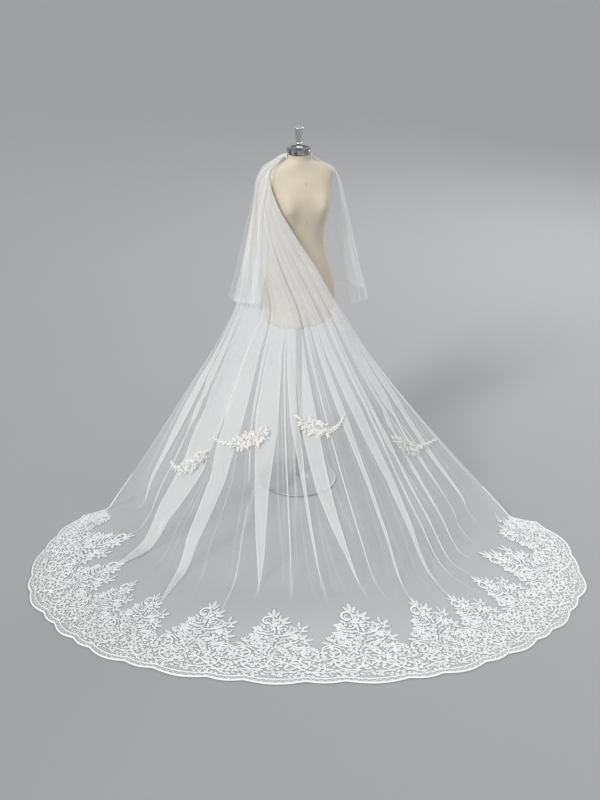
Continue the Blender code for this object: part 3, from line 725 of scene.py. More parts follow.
def make_form(material):
    """The torso and neck as one closed body, with the angle round it kept for its seams."""
    table = np.array(FORM_ROWS)
    run = path_run(table[:, :2])
    rows = spline(run, table, np.linspace(0, run[-1], FORM_LEVELS))
    rows[:, 4] = np.maximum(rows[:, 4], 0)
    angles = np.linspace(-math.pi, math.pi, FORM_SEGMENTS + 1)
    points = np.stack([form_points(row, angles) for row in rows])
    bm, index = cloth_grid(FORM_LEVELS, FORM_SEGMENTS + 1)
    bm.verts.ensure_lookup_table()
    layer = bm.verts.layers.float_vector.new("around")
    for level, row in enumerate(rows):
        for step, angle in enumerate(angles):
            vertex = bm.verts[index[level, step]]
            vertex.co = points[level, step]
            vertex[layer] = (math.sin(angle), math.cos(angle), row[0])
    bmesh.ops.remove_doubles(bm, verts=bm.verts, dist=MERGE_DISTANCE)
    bmesh.ops.holes_fill(bm, edges=[edge for edge in bm.edges if edge.is_boundary], sides=0)
    bmesh.ops.recalc_face_normals(bm, faces=bm.faces)
    piece = finished("form_body", bm, material, "form_cover", "form_torso")
    piece.data.set_sharp_from_angle(angle=math.radians(50))
    return piece


def make_hardware(chrome, satin, steel):
    turned("neck_cap", (
        (0.0, 1.6052), (0.0405, 1.6052), (0.0420, 1.6060), (0.0432, 1.6068), (0.0462, 1.6070),
        (0.0482, 1.6062), (0.0490, 1.6044), (0.0490, 1.6012), (0.0482, 1.6002), (0.0482, 1.5990),
        (0.0490, 1.5980), (0.0490, 1.5846), (0.0484, 1.5828), (0.0470, 1.5820), (0.0, 1.5820),
    ), chrome, "form_neck_cap", "chrome")
    turned("finial", (
        (0.0, 1.6943), (0.0140, 1.6943), (0.0165, 1.6940), (0.0180, 1.6934), (0.0188, 1.6922),
        (0.0189, 1.6906), (0.0183, 1.6840), (0.0172, 1.6750), (0.0155, 1.6640), (0.0140, 1.6530),
        (0.0127, 1.6420), (0.0117, 1.6340), (0.0110, 1.6316), (0.0112, 1.6305), (0.0140, 1.6298),
        (0.0154, 1.6284), (0.0158, 1.6264), (0.0154, 1.6244), (0.0140, 1.6228), (0.0112, 1.6218),
        (0.0105, 1.6200), (0.0107, 1.6165), (0.0116, 1.6125), (0.0130, 1.6096), (0.0143, 1.6088),
        (0.0145, 1.6080), (0.0145, 1.6073), (0.0, 1.6073),
    ), satin, "form_finial", "satin_metal")
    turned("under_collar", (
        (0.0, 0.8147), (0.0272, 0.8147), (0.0280, 0.8139), (0.0280, 0.8040), (0.0272, 0.8032),
        (0.0272, 0.8020), (0.0280, 0.8012), (0.0280, 0.7880), (0.0264, 0.7852), (0.0250, 0.7847),
        (0.0, 0.7847),
    ), steel, "form_collar", "chrome")
    turned("pole", (
        (0.0, 0.7844), (0.0132, 0.7844), (0.0140, 0.7836), (0.0140, 0.4310), (0.0136, 0.4300),
        (0.0136, 0.4290), (0.0140, 0.4280), (0.0140, 0.0251), (0.0132, 0.0243), (0.0, 0.0243),
    ), steel, "stand_pole", "chrome")
    turned("foot_plate", (
        (0.0, 0.0240), (0.0285, 0.0240), (0.0300, 0.0234), (0.0345, 0.0200), (0.0420, 0.0152),
        (0.0480, 0.0143), (0.1200, 0.0120), (0.1660, 0.0108), (0.1740, 0.0098), (0.1780, 0.0076),
        (0.1798, 0.0046), (0.1800, 0.0020), (0.1794, 0.0004), (0.1786, 0.0), (0.0, 0.0),
    ), steel, "stand_base", "chrome", 96)


# ---- Long tier ----
# The lines of the mesh that lie on the body, and those between the hip and the floor.
BODY_LINES = 38
FAN_LINES = 50
FORM_CLEARANCE = 0.004
# The metres across over which the streaks of the net are drawn.
LONG_TIER_WIDTH = 3.85


def make_long_tier(rows, tulle, form_tree):
    """The long tier as one sheet: gathered at the nape, folded down the front, spread as a train."""
    fan_row = HIP_ROW + len(FAN_RUNS)
    lines = np.concatenate((
        np.linspace(0, HIP_ROW, BODY_LINES, endpoint=False),
        np.linspace(HIP_ROW, fan_row, FAN_LINES, endpoint=False),
        np.linspace(fan_row, LAST_ROW, TRAIN_ROWS - BODY_LINES - FAN_LINES),
    ))
    smooth = resampled(rows, lines)
    smooth[..., 2] = np.maximum(smooth[..., 2], LYING_HEIGHT)
    body = int((lines < HIP_ROW - 0.2).sum())
    smooth[1:body] = lift_clear(smooth[1:body], [form_tree], FORM_CLEARANCE)
    drape = Drape(smooth, lines, TRAIN_COLUMNS)
    line = drape.line
    for fold in FOLDS:
        stops = (3.0, HIP_ROW, 9.85, 11.05, 12.25, fold.end_row)
        middle = np.interp(line, stops, (fold.places[0], *fold.places, fold.end))
        width = np.interp(line, stops, (fold.widths[0] * 0.3, *fold.widths, 0.0))
        fading = np.interp(abs(fold.end - 0.5), (0.25, 0.40), (2.2, 1.0))
        share = np.interp(line, (0.5, 3.0, fold.end_row, fold.end_row + fading), (0, 1, 1, 0))
        share = share * np.interp(line, (0, 16, 17), (1, 1, 0))
        rise = np.interp(line, (0, 3, 7, 9, 12, 13, 14, 15),
                         (0.0008, 0.0012, 0.0020, 0.006, 0.008, 0.005, 0.003, 0.0))
        drape.fold(middle, fold.cloth, width, share, rise, fold.lean, 0.6 + 6 * np.minimum(width, 0.1))
    gathers = random.Random(11)
    middle = 0.0
    while middle < 0.985:
        middle += gathers.uniform(0.012, 0.058)
        last = gathers.uniform(8.8, 11.4)
        widest = gathers.choice((0.004, 0.006, 0.010, 0.020))
        width = np.interp(line, (1.0, 4.0, 8.0, last), (0.002, 0.005, widest, 0.0))
        share = np.interp(line, (0.3, 1.5, last, last + 1.2), (0.3, 1, 1, 0))
        rise = np.interp(line, (0, 3, 7, 9, 11, 12.5), (0.0006, 0.0010, 0.0014, 0.0028, 0.0016, 0.0))
        drape.fold(middle, gathers.uniform(0.012, 0.022), width, share, rise, gathers.choice((-1, 1)))
    drape.ripple(((7, 0.1, 0.25, 0.5), (12, 0.63, -0.2, 0.35), (19, 0.27, 0.3, 0.2)),
                 np.interp(line, (0, 6, 9, 11, 13, 14.5), (0, 0.002, 0.006, 0.008, 0.003, 0)))
    drape.ripple(((53, 0.4, 0.9, 0.5), (91, 0.8, -0.7, 0.3), (143, 0.2, 1.3, 0.2)),
                 np.interp(line, (0, 2, 8, 12, 14, 17), (0, 0.0003, 0.0006, 0.0012, 0.0010, 0.0004)))
    points = drape.settle()
    points[..., 2] = np.maximum(points[..., 2], LOWEST)

    cover = np.interp(line, (0, 2, 4, 6, 7, 8, 9, 10, 12, 14, 16, 17),
                      (0.66, 0.56, 0.50, 0.44, 0.35, 0.21, 0.175, 0.165, 0.16, 0.20, 0.34, 0.40))
    edge_fade = np.interp(drape.place, (0.86, 0.95, 1.0), (1.0, 0.50, 0.30))
    on_body = np.interp(line, (0.5, 1.5, 7.5, 9.0), (0, 1, 1, 0))
    cover = cover * (1 + (edge_fade - 1) * on_body)
    turned_back = np.clip(-np.gradient(drape.columns, axis=1) * 2, 0, 1)
    cover = cover + turned_back * np.interp(line, (7.5, 9.5), (0, 0.15))
    crease = drape.creases() * np.interp(line, (3, 7.5, 8.5, 10), (0, 0.04, 0.25, 0.8))
    cover = cover + (0.62 - cover) * crease
    hemmed = np.interp(line, (7.0, 9.5), (1.0, 1.7))
    for selvage in (slice(0, 2), slice(-2, None)):
        cover[:, selvage] = np.minimum(cover[:, selvage] * hemmed, 0.6)
    nodes = "train_drape", "train_left", "train_front", "train_right"
    return drape.piece("long_tier", points, cover, LONG_TIER_WIDTH, 0, tulle, nodes), drape


# ---- Short tier ----
CAPE_POINTS = 105
CAPE_GATHERS = 24
CAPE_CLEARANCE = 0.0035
SHORT_TIER_WIDTH = 2.6


def make_short_tier(tulle, trees):
    """The short tier round the shoulders and back, folded lengthwise, with a plain cut edge."""
    share = np.linspace(0, 1, CAPE_POINTS)
    rows = []
    for row in CAPE_ROWS:
        angle = np.radians(-row.left_end + (row.left_end + row.right_end) * share)
        sine, cosine = np.sin(angle), np.cos(angle)
        behind = cosine > 0
        x = np.where(sine < 0, row.left_x, row.right_x) * sine
        y = np.where(behind, row.back_y, row.front_y) * cosine
        side_z = np.where(sine < 0, row.left_z, row.right_z)
        depth_z = np.where(behind, row.back_z, row.front_z)
        rows.append(np.stack([x, y, side_z * sine ** 2 + depth_z * cosine ** 2], axis=1))
    last = len(CAPE_ROWS) - 1
    lines = np.linspace(0, last, CAPE_LINES)
    smooth = resampled(np.stack(rows)[:, ::-1], lines)
    smooth[1:] = lift_clear(smooth[1:], trees, CAPE_CLEARANCE)
    drape = Drape(smooth, lines, CAPE_COLUMNS)
    line = drape.line
    for fold in CAPE_FOLDS:
        middle = 1 - fold.place + fold.drift * line / last
        width = np.interp(line, (1, 3, last), (0.002, fold.shoulder_w, fold.hem_w))
        rise = np.interp(line, (0, 3, last), (0.0008, 0.0018, 0.0050))
        drape.fold(middle, fold.cloth, width, np.interp(line, (0.3, 2.0), (0, 1)), rise, fold.lean)
    gathers = random.Random(5)
    for i in range(CAPE_GATHERS):
        middle = (i + 0.5 + gathers.uniform(-0.4, 0.4)) / CAPE_GATHERS
        end = gathers.uniform(2.5, 6.0)
        width = np.interp(line, (0.5, 2.0, end), (0.002, 0.005, 0.0))
        share = np.interp(line, (0, 0.8, end, end + 1.5), (0.4, 1, 1, 0))
        rise = np.interp(line, (0, 2, end, end + 1.5), (0.001, 0.002, 0.0015, 0))
        drape.fold(middle, 0.024, width, share, rise, 1)
    drape.ripple(((9, 0.2, 0.1, 0.6), (15, 0.7, -0.1, 0.4)), np.interp(line, (0, 3, last), (0, 0.0015, 0.0065)))
    points = drape.settle()

    cover = np.interp(line, (0, 1, 3, 5, last), (0.50, 0.32, 0.22, 0.18, 0.15))
    cover = cover * np.interp(drape.place, (0, 0.3, 0.7), (0.55, 0.80, 1.0))
    cover = cover + (0.5 - cover) * drape.creases() * np.interp(line, (1, 4), (0, 0.28))
    cover[-1:] = 0.24
    cover[:, -2:] = 0.24
    cover[:, :2] = 0.34
    return drape.piece("short_tier_cloth", points, cover, SHORT_TIER_WIDTH, 1, tulle, ["short_tier"])


HEADING_LINES = 15
HEADING_COLUMNS = 260
HEADING_RADIUS = 0.0515
HEADING_TOP = 1.5773
HEADING_HEIGHT = 0.0114
STITCHED = (0.28, 0.72)


def make_heading(tulle):
    """The gathered band at the nape, with its ruched folds and two rows of stitching."""
    share = np.linspace(0, 1, HEADING_COLUMNS)[None, :]
    fall = np.linspace(0, 1, HEADING_LINES)[:, None]
    angle = np.radians(104.0 - 208.0 * share)
    ruche = np.sin(math.tau * (share * 41 + 0.25 * np.sin(share * 37))) * 0.5 + 0.5
    pinch = 1
    for row in STITCHED:
        pinch = pinch - 0.75 * np.exp(-((fall - row) / 0.07) ** 2)
    radius = HEADING_RADIUS + 0.0050 * ruche * pinch
    z = HEADING_TOP - HEADING_HEIGHT * fall + 0 * share
    points = np.stack([radius * np.sin(angle), radius * np.cos(angle), z], axis=2)
    cover = np.full(radius.shape, 0.92)
    cloth = np.stack(np.broadcast_arrays(share * 1.2, fall * 0.02, np.ones(radius.shape)), axis=2)
    return cloth_piece("heading", points, cover, cloth, tulle, ["heading_band"])


# ---- Lace ----
CORD_HEIGHT = 0.0026
EYELET_CORD = 0.0021
EYELET_RISE = 0.0020
# How high the cords of the hem and the motifs lie above the smooth train.
EDGE_LIFT = 0.0016
MOTIF_LIFT = 0.0030
# How high the sprays lie above the folds, and how far at most they are lifted to clear them.
SPRAY_LIFT = 0.0008
MOST_LIFT = 0.03


class Lace:
    """A flat drawing of lace in relief: x across, y up from the hem, z the height of the thread."""

    def __init__(self):
        self.bm = bmesh.new()
        self.filling = self.bm.verts.layers.float.new("filling")
        self.middles = []

    def upward(self, verts):
        """The one face of the given points, turned to face up."""
        face = verts[0].link_faces[0]
        face.normal_update()
        if face.normal.z < 0:
            face.normal_flip()
        return face

    def inset(self, face, thickness, depth, even=False):
        bmesh.ops.inset_individual(self.bm, faces=[face], thickness=thickness, depth=depth, use_even_offset=even)

    def petal(self, x, y, length, width, degrees, point=0.55, rim=0.16, rise=0.0016, segments=8, lift=0.0, tip=0.0):
        """A leaf or petal with a corded rim, from its foot at x, y in the direction given."""
        made = bmesh.ops.create_circle(self.bm, cap_ends=True, segments=segments, radius=0.5)["verts"]
        turn = Matrix.Rotation(math.radians(degrees), 3, "Z")
        foot = Vector((x, y, 0.0))
        for vertex in made:
            out = 2 * vertex.co.x
            narrow = 1 - (point if out > 0 else 0.45) * out * out
            height = lift + tip * (out + 1) / 2
            vertex.co = turn @ Vector(((out + 1) * length / 2, vertex.co.y * width * narrow, height)) + foot
        face = self.upward(made)
        edge = min(length, width) * rim
        self.inset(face, edge, rise)
        if segments > 6:
            self.inset(face, edge / 2, -rise * 0.75)
        for vertex in face.verts:
            vertex[self.filling] = 1.0 if segments > 6 else 0.45
        self.middles.append(turn @ Vector((length / 2, 0, 0)) + foot)

    def sprig(self, x, y, size, degrees, leaves):
        """A few tiny leaves that spread from one point."""
        for i in range(leaves):
            spread = 42 * (i - (leaves - 1) / 2)
            self.petal(x, y, size * (1 - abs(spread) / 260), size * 0.42, degrees + spread, 0.5, 0.3, 0.0016, 6)

    def ring(self, x, y, radius):
        """A small corded eyelet."""
        made = bmesh.ops.create_circle(self.bm, cap_ends=True, segments=7, radius=radius)["verts"]
        bmesh.ops.translate(self.bm, verts=made, vec=(x, y, 0.0))
        face = self.upward(made)
        self.inset(face, EYELET_CORD, EYELET_RISE, even=True)
        self.inset(face, EYELET_CORD, -EYELET_RISE, even=True)
        bmesh.ops.delete(self.bm, geom=[face], context="FACES_ONLY")
        self.middles.append(Vector((x, y, 0.0)))

    def blossom(self, x, y, radius, petals, turn, full):
        """An open flower with a round eye."""
        foot = radius * 0.28
        for i in range(petals):
            degrees = turn + 360 * i / petals
            angle = math.radians(degrees)
            self.petal(x + foot * math.cos(angle), y + foot * math.sin(angle), radius * 0.72,
                       full * math.tau * radius * 0.62 / petals, degrees, 0.25, 0.18, 0.0022)
        eye = bmesh.ops.create_icosphere(self.bm, subdivisions=1, radius=radius * 0.16)["verts"]
        for vertex in eye:
            vertex.co = Vector((x + vertex.co.x, y + vertex.co.y, 0.003 + vertex.co.z * 0.6))

    def cluster(self, x, y, radius, seed):
        """A mass of slim petals that turn out from a middle, none of them alike."""
        chance = random.Random(seed)
        for ring, (reach, count, length) in enumerate(((0.62, 13, 0.46), (0.38, 10, 0.44), (0.12, 7, 0.42))):
            for i in range(count):
                angle = math.tau * (i + chance.uniform(-0.22, 0.22) + 0.5 * (ring % 2)) / count
                out = radius * (reach + chance.uniform(-0.07, 0.07))
                size = radius * length * chance.uniform(0.8, 1.15)
                self.petal(x + out * math.cos(angle), y + out * math.sin(angle), size, size * 0.34,
                           math.degrees(angle) + chance.uniform(-26, 26), 0.5, 0.15, 0.0018 + 0.0008 * ring, 8)

    def cord(self, path, width):
        """A raised cord along a path of points, thinner at its ends."""
        path = np.asarray(path, dtype=float)
        way = unit(np.gradient(path, axis=0))
        side = np.stack([-way[:, 1], way[:, 0]], axis=1)
        steps = np.arange(len(path))
        taper = 0.35 + 0.65 * np.minimum(1.0, 4 * np.minimum(steps, steps[::-1]) / (len(path) - 1) + 0.15)
        add_strip(self.bm, [
            np.column_stack([path + side * out * width * taper[:, None], np.full(len(path), height)])
            for out, height in ((0.5, 0.0), (0.0, CORD_HEIGHT), (-0.5, 0.0))
        ])
        self.middles.extend(Vector((*spot, 0.0)) for spot in path[1::2])

    def scroll(self, x, y, radius, start, sweep, tail, width):
        """A curled vine that winds in as it goes."""
        share = np.linspace(0, 1, 20)
        angle = np.radians(start + sweep * share)
        reach = radius * (1 - (1 - tail) * share)
        self.cord(np.stack([x + reach * np.cos(angle), y + reach * np.sin(angle)], axis=1), width)

    def vine(self, *points, width, leaves=0, size=0.022):
        """A smooth vine through points, with small leaves on alternate sides."""
        path = along(points, np.linspace(0, 1, 5 * len(points)))
        self.cord(path, width)
        for i in range(leaves):
            at = int((i + 0.6) / leaves * (len(path) - 2))
            way = math.degrees(math.atan2(*(path[at + 1] - path[at])[::-1]))
            self.petal(path[at][0], path[at][1], size, size * 0.42, way + (48 if i % 2 else -48))

    def fill(self, outline, seed, tries, apart):
        """Packs the free ground inside an outline, given as height, left and right, with sprigs."""
        chance = random.Random(seed)
        heights, lefts, rights = zip(*outline)
        for _ in range(tries):
            y = chance.uniform(heights[0], heights[-1])
            x = chance.uniform(np.interp(y, heights, lefts), np.interp(y, heights, rights))
            spot = Vector((x, y, 0.0))
            if any((spot - other).length < apart for other in self.middles):
                continue
            outward = math.degrees(math.atan2(y - 0.16, x)) + chance.uniform(-50, 50)
            size = chance.uniform(0.012, 0.018)
            angle = math.radians(outward)
            if chance.random() < 0.3:
                self.ring(x, y, size * 0.42)
                continue
            self.sprig(x - 0.5 * size * math.cos(angle), y - 0.5 * size * math.sin(angle), size, outward,
                       chance.choice((2, 3, 3)))
            self.middles.append(spot)


# The pointed motif of the border. Places are from the middle of the repeat and from the hem.
Leaf = namedtuple("Leaf", "x y length width degrees")
MOTIF_LEAVES = [Leaf(*row) for row in (
    (0.002, 0.385, 0.046, 0.017, 88), (-0.004, 0.380, 0.038, 0.014, 124), (0.008, 0.380, 0.038, 0.014, 56),
    (0.030, 0.350, 0.050, 0.015, 38), (0.034, 0.340, 0.040, 0.013, 12), (0.022, 0.362, 0.034, 0.012, 66),
    (-0.045, 0.300, 0.044, 0.022, 168), (-0.036, 0.318, 0.030, 0.012, 140),
    (-0.050, 0.262, 0.052, 0.018, 176), (-0.046, 0.250, 0.044, 0.015, 200), (-0.020, 0.268, 0.040, 0.013, 158),
    (0.098, 0.318, 0.034, 0.013, 76), (0.108, 0.306, 0.040, 0.014, 34), (0.104, 0.292, 0.030, 0.011, 4),
    (0.084, 0.300, 0.030, 0.012, 118), (0.044, 0.270, 0.046, 0.014, 32), (0.052, 0.256, 0.040, 0.013, 8),
    (0.094, 0.240, 0.044, 0.014, 44), (0.106, 0.232, 0.040, 0.013, 14), (0.100, 0.224, 0.030, 0.011, -22),
    (-0.100, 0.214, 0.038, 0.014, 132), (-0.108, 0.204, 0.036, 0.013, 168), (-0.098, 0.196, 0.028, 0.011, 206),
    (0.076, 0.178, 0.040, 0.015, 20), (0.078, 0.166, 0.034, 0.013, -12), (-0.086, 0.160, 0.036, 0.014, 196),
    (-0.012, 0.128, 0.034, 0.014, 250), (0.012, 0.128, 0.034, 0.014, 292), (0.110, 0.156, 0.030, 0.012, 60),
    (-0.124, 0.088, 0.030, 0.012, 70), (-0.112, 0.080, 0.028, 0.012, 30), (-0.038, 0.070, 0.030, 0.012, 110),
    (-0.026, 0.064, 0.028, 0.012, 60), (0.034, 0.070, 0.030, 0.012, 76), (0.046, 0.062, 0.028, 0.011, 30),
    (0.120, 0.082, 0.030, 0.012, 120), (0.108, 0.074, 0.028, 0.012, 160), (-0.140, 0.128, 0.028, 0.011, 100),
    (-0.062, 0.124, 0.028, 0.011, 150), (0.052, 0.120, 0.028, 0.011, 30), (-0.012, 0.044, 0.026, 0.010, 170),
    (0.014, 0.044, 0.026, 0.010, 8), (-0.092, 0.044, 0.024, 0.010, 160), (0.088, 0.044, 0.024, 0.010, 20),
    (-0.066, 0.046, 0.024, 0.010, 20), (0.064, 0.044, 0.024, 0.010, 160),
)]
Flower = namedtuple("Flower", "x y radius petals turn full")
MOTIF_FLOWERS = [Flower(*row) for row in (
    (0.010, 0.320, 0.030, 5, 18, 0.82), (0.100, 0.302, 0.019, 5, 0, 0.82),
    (-0.078, 0.104, 0.034, 6, 40, 0.66),
    (0.080, 0.106, 0.034, 6, 10, 0.66), (0.0, 0.082, 0.026, 6, 0, 0.75),
    (0.148, 0.152, 0.027, 5, 30, 0.82), (0.146, 0.066, 0.023, 5, 60, 0.82),
    (-0.098, 0.238, 0.018, 5, 20, 0.82), (0.066, 0.214, 0.019, 5, 50, 0.82),
    (-0.070, 0.206, 0.018, 5, 15, 0.82), (-0.060, 0.302, 0.020, 3, 200, 0.7),
)]
MOTIF_OUTLINE = (
    (0.021, -0.148, 0.148), (0.080, -0.148, 0.148), (0.130, -0.148, 0.148), (0.172, -0.138, 0.142),
    (0.205, -0.112, 0.122), (0.250, -0.096, 0.112), (0.280, -0.078, 0.108), (0.310, -0.062, 0.104),
    (0.330, -0.040, 0.056), (0.360, -0.044, 0.042), (0.395, -0.020, 0.024),
)


def draw_motif():
    """One repeat of the border, drawn flat."""
    lace = Lace()
    for leaf in MOTIF_LEAVES:
        lace.petal(leaf.x, leaf.y, leaf.length, leaf.width, leaf.degrees)
    for flower in MOTIF_FLOWERS:
        lace.blossom(*flower)
    lace.cluster(-0.006, 0.196, 0.068, seed=9)
    lace.scroll(-0.022, 0.354, 0.031, 20, 310, 0.45, 0.0085)
    lace.scroll(-0.022, 0.352, 0.014, 60, 280, 0.40, 0.0050)
    lace.vine((0.000, 0.385), (-0.002, 0.345), (0.004, 0.300), (-0.004, 0.255), width=0.0060)
    lace.vine((-0.004, 0.265), (0.030, 0.262), (0.066, 0.275), (0.092, 0.298), width=0.0055, leaves=4, size=0.022)
    lace.vine((0.000, 0.300), (-0.022, 0.288), (-0.046, 0.292), width=0.0055)
    lace.vine((-0.006, 0.258), (-0.034, 0.246), (-0.066, 0.252), (-0.092, 0.240), width=0.0055, leaves=3, size=0.022)
    lace.vine((0.046, 0.216), (0.066, 0.222), (0.092, 0.236), width=0.0050)
    lace.vine((-0.060, 0.190), (-0.082, 0.196), (-0.102, 0.210), width=0.0050)
    lace.scroll(-0.110, 0.150, 0.037, 150, -320, 0.35, 0.0070)
    lace.scroll(0.114, 0.152, 0.034, 20, 310, 0.35, 0.0070)
    lace.vine((-0.146, 0.148), (-0.138, 0.184), (-0.104, 0.196), (-0.066, 0.172), width=0.0060)
    lace.vine((0.054, 0.168), (0.090, 0.194), (0.128, 0.190), (0.150, 0.178), width=0.0060, leaves=3, size=0.020)
    lace.vine((-0.016, 0.140), (-0.052, 0.122), (-0.074, 0.134), width=0.0055, leaves=2, size=0.020)
    lace.vine((0.014, 0.140), (0.046, 0.134), (0.080, 0.140), width=0.0055, leaves=2, size=0.020)
    lace.vine((-0.148, 0.106), (-0.112, 0.122), (-0.104, 0.080), (-0.054, 0.060), (-0.008, 0.118), width=0.0060)
    lace.vine((-0.008, 0.118), (0.040, 0.098), (0.092, 0.058), (0.150, 0.018), width=0.0068)
    lace.vine((0.012, 0.050), (0.050, 0.048), (0.100, 0.072), (0.116, 0.112), (0.148, 0.108), width=0.0055)
    lace.vine((-0.148, 0.040), (-0.120, 0.052), (-0.088, 0.058), (-0.050, 0.038), width=0.0050)
    lace.vine((0.148, 0.040), (0.124, 0.050), (0.096, 0.040), width=0.0050)
    lace.scroll(-0.038, 0.088, 0.020, 200, 290, 0.4, 0.0050)
    lace.scroll(0.042, 0.074, 0.017, -20, -290, 0.4, 0.0050)
    lace.scroll(-0.124, 0.036, 0.013, 0, 300, 0.4, 0.0045)
    lace.scroll(0.124, 0.034, 0.013, 180, -300, 0.4, 0.0045)
    lace.fill(MOTIF_OUTLINE, seed=3, tries=7000, apart=0.0104)
    return mesh_of(lace.bm, "motif")


# The width of the drawn repeat, and how high its tip is drawn.
REPEAT_WIDTH = 0.296
MOTIF_TOP = 0.431
# How far each repeat's tip leans sideways, in repeats, and how far it reaches from the hem.
Tip = namedtuple("Tip", "lean reach")
TIPS = [Tip(*row) for row in (
    (0.30, 0.255), (0.38, 0.520), (0.16, 0.462), (0.03, 0.420), (-0.18, 0.425),
    (-0.06, 0.462), (-0.09, 0.438), (0.06, 0.486), (0.20, 0.474), (-0.06, 0.420),
    (-0.12, 0.444), (-0.19, 0.480), (-0.30, 0.330),
)]


def fan_grid(ribs, length):
    """The unfolded fan as a grid by distance from the hem, with its normals."""
    distances = np.concatenate((np.linspace(-0.03, 0.66, 116), np.linspace(0.69, 1.9, 45)))
    grid = np.stack([read_ribs(ribs, np.minimum(distance, length - 0.01)) for distance in distances])
    return distances, grid, -grid_normals(grid)


def lay_lace(heights, places, distances, fan):
    """Puts points of flat lace on the fan: height, place in repeats and distance from the hem."""
    steps, grid, normals = fan
    heights, places, distances = np.broadcast_arrays(heights, places, distances)
    rows = np.interp(distances, steps, np.arange(len(steps)))
    columns = np.interp(places, COLUMN_PLACES, np.arange(len(COLUMN_PLACES)))
    return between(grid, rows, columns) + between(normals, rows, columns) * heights[..., None]


def make_lace_border(material, fan):
    """Thirteen pointed repeats along the hem."""
    motif = draw_motif()
    lace = Lace()
    for _ in range(REPEATS):
        lace.bm.from_mesh(motif)
    piece = finished("lace_motifs", lace.bm, material, "lace", "lace_border")
    x, y, height = np.moveaxis(points_of(piece).reshape(REPEATS, -1, 3), 2, 0)
    lean, reach = np.array(TIPS).T[..., None]
    up = np.clip(y / MOTIF_TOP, 0, 1)
    places = np.arange(REPEATS)[:, None] + 0.5 + x / REPEAT_WIDTH + lean * up ** 1.5
    places = np.clip(places, 0.02, REPEATS - 0.02)
    distances = y * (1 + (reach / MOTIF_TOP - 1) * np.where(reach < 0.4, 1, up))
    move_points(piece, lay_lace(height + MOTIF_LIFT, places, distances, fan))
    return piece


# The steps of the hem's cord and the turns of its zigzag in each repeat.
EDGE_STEPS = 44
ZIGZAG_TURNS = 24
SIDE_CORD_LENGTH = 0.30


def make_edge_cords(material, fan):
    """The thick outer cord along the scallops, a thin line inside it, a zigzag and the side cords."""
    bm = bmesh.new()
    places = np.linspace(0, REPEATS, REPEATS * EDGE_STEPS + 1)
    out = scallops(places)
    for inset, width, height in ((0.0, 0.0090, 0.0042), (0.0205, 0.0046, 0.0026)):
        add_strip(bm, [
            lay_lace(EDGE_LIFT + up * height, places, inset - out * (1 - inset * 12) + side * width, fan)
            for side, up in ((-0.5, 0.0), (-0.2, 1.0), (0.2, 1.0), (0.5, 0.0))
        ])
    zigzag = np.linspace(0, REPEATS, REPEATS * ZIGZAG_TURNS + 1)
    swing = np.where(np.arange(len(zigzag)) % 2, 0.0035, 0.0185) - scallops(zigzag) * 0.86
    add_strip(bm, [lay_lace(MOTIF_LIFT, zigzag, swing + side, fan) for side in (-0.0016, 0.0016)])
    distances = np.linspace(0.0, SIDE_CORD_LENGTH, 60)
    for place, inward in ((0.004, 0.02), (REPEATS - 0.004, -0.02)):
        add_strip(bm, [
            lay_lace(EDGE_LIFT + up * 0.0036, place + inward * shift, distances, fan)
            for shift, up in ((0.0, 0.0), (0.35, 1.0), (0.65, 1.0), (1.0, 0.0))
        ])
    bmesh.ops.recalc_face_normals(bm, faces=bm.faces)
    return finished("lace_edge", bm, material, "lace")


# Each spray: its place across the train and down from the hip, its length and height, the side its
# tail points to, its turn in degrees and how much the tail curls up.
Spray = namedtuple("Spray", "across run length height tail turn curl")
SPRAYS = [Spray(*row) for row in (
    (0.180, 0.67, 0.35, 0.088, -1, 31, 0.14),
    (0.356, 0.492, 0.266, 0.090, -1, 16, 0.26),
    (0.632, 0.42, 0.200, 0.094, 1, 0, 0.62),
    (0.927, 0.600, 0.31, 0.092, 1, 21, 0.30),
)]


TAIL_LEAVES = 13
SPRAY_TRIES = 3000
SPRAY_APART = 0.0062


def draw_spray(seed, length, height, curl):
    """A crescent of small petals that thins to a long leafy tail towards +x, drawn flat."""
    chance = random.Random(seed)
    lace = Lace()

    def spine(s):
        return height * ((0.48 if s < 0 else curl) * s * s - 0.17)

    def half(s):
        body = 0.31 * math.sqrt(max(1 - ((s + 0.48) / 0.54) ** 2, 0.0))
        tail = 0.085 * max(1 - s, 0.0) if s > -0.2 else 0.0
        return height * max(body, tail)

    for s, y, radius in ((-0.72, 0.03, 0.016), (-0.44, 0.10, 0.017), (-0.52, -0.16, 0.015), (-0.18, -0.04, 0.013)):
        lace.blossom(s * length / 2, spine(s) + y * height, radius, 5, chance.uniform(0, 72), 0.85)
    lace.vine(*[(s * length / 2, spine(s)) for s in (-0.1, 0.2, 0.5, 0.75, 0.96)], width=0.0042)
    for i in range(TAIL_LEAVES):
        s = 0.06 + 0.074 * i
        size = 0.020 - 0.0007 * i
        way = math.degrees(math.atan2(height * 2 * curl * s, length / 2))
        lace.petal(s * length / 2, spine(s), size, size * 0.46, way + (34 if i % 2 else -34), 0.6, 0.14, 0.0014, 8,
                   0.0, chance.uniform(-0.001, 0.004))
    for _ in range(SPRAY_TRIES):
        s = chance.triangular(-1.02, 0.42, -0.5)
        y = chance.uniform(-1.0, 1.0) * half(s)
        spot = Vector((s * length / 2, spine(s) + y, 0.0))
        if any((spot - other).length < SPRAY_APART for other in lace.middles):
            continue
        outward = math.degrees(math.atan2(y + 0.0001, (s + 0.40) * length / 2)) + chance.uniform(-55, 55)
        size = chance.choice((0.010, 0.012, 0.014, 0.020, 0.023)) * chance.uniform(0.9, 1.1)
        dome = 0.006 * (1 - (y / max(half(s), 0.001)) ** 2)
        lace.petal(spot.x, spot.y, size, size * chance.uniform(0.30, 0.42), outward, 0.8, 0.12, 0.0008, 8,
                   dome + chance.uniform(0.0, 0.005), chance.uniform(-0.005, 0.007))
    return lace


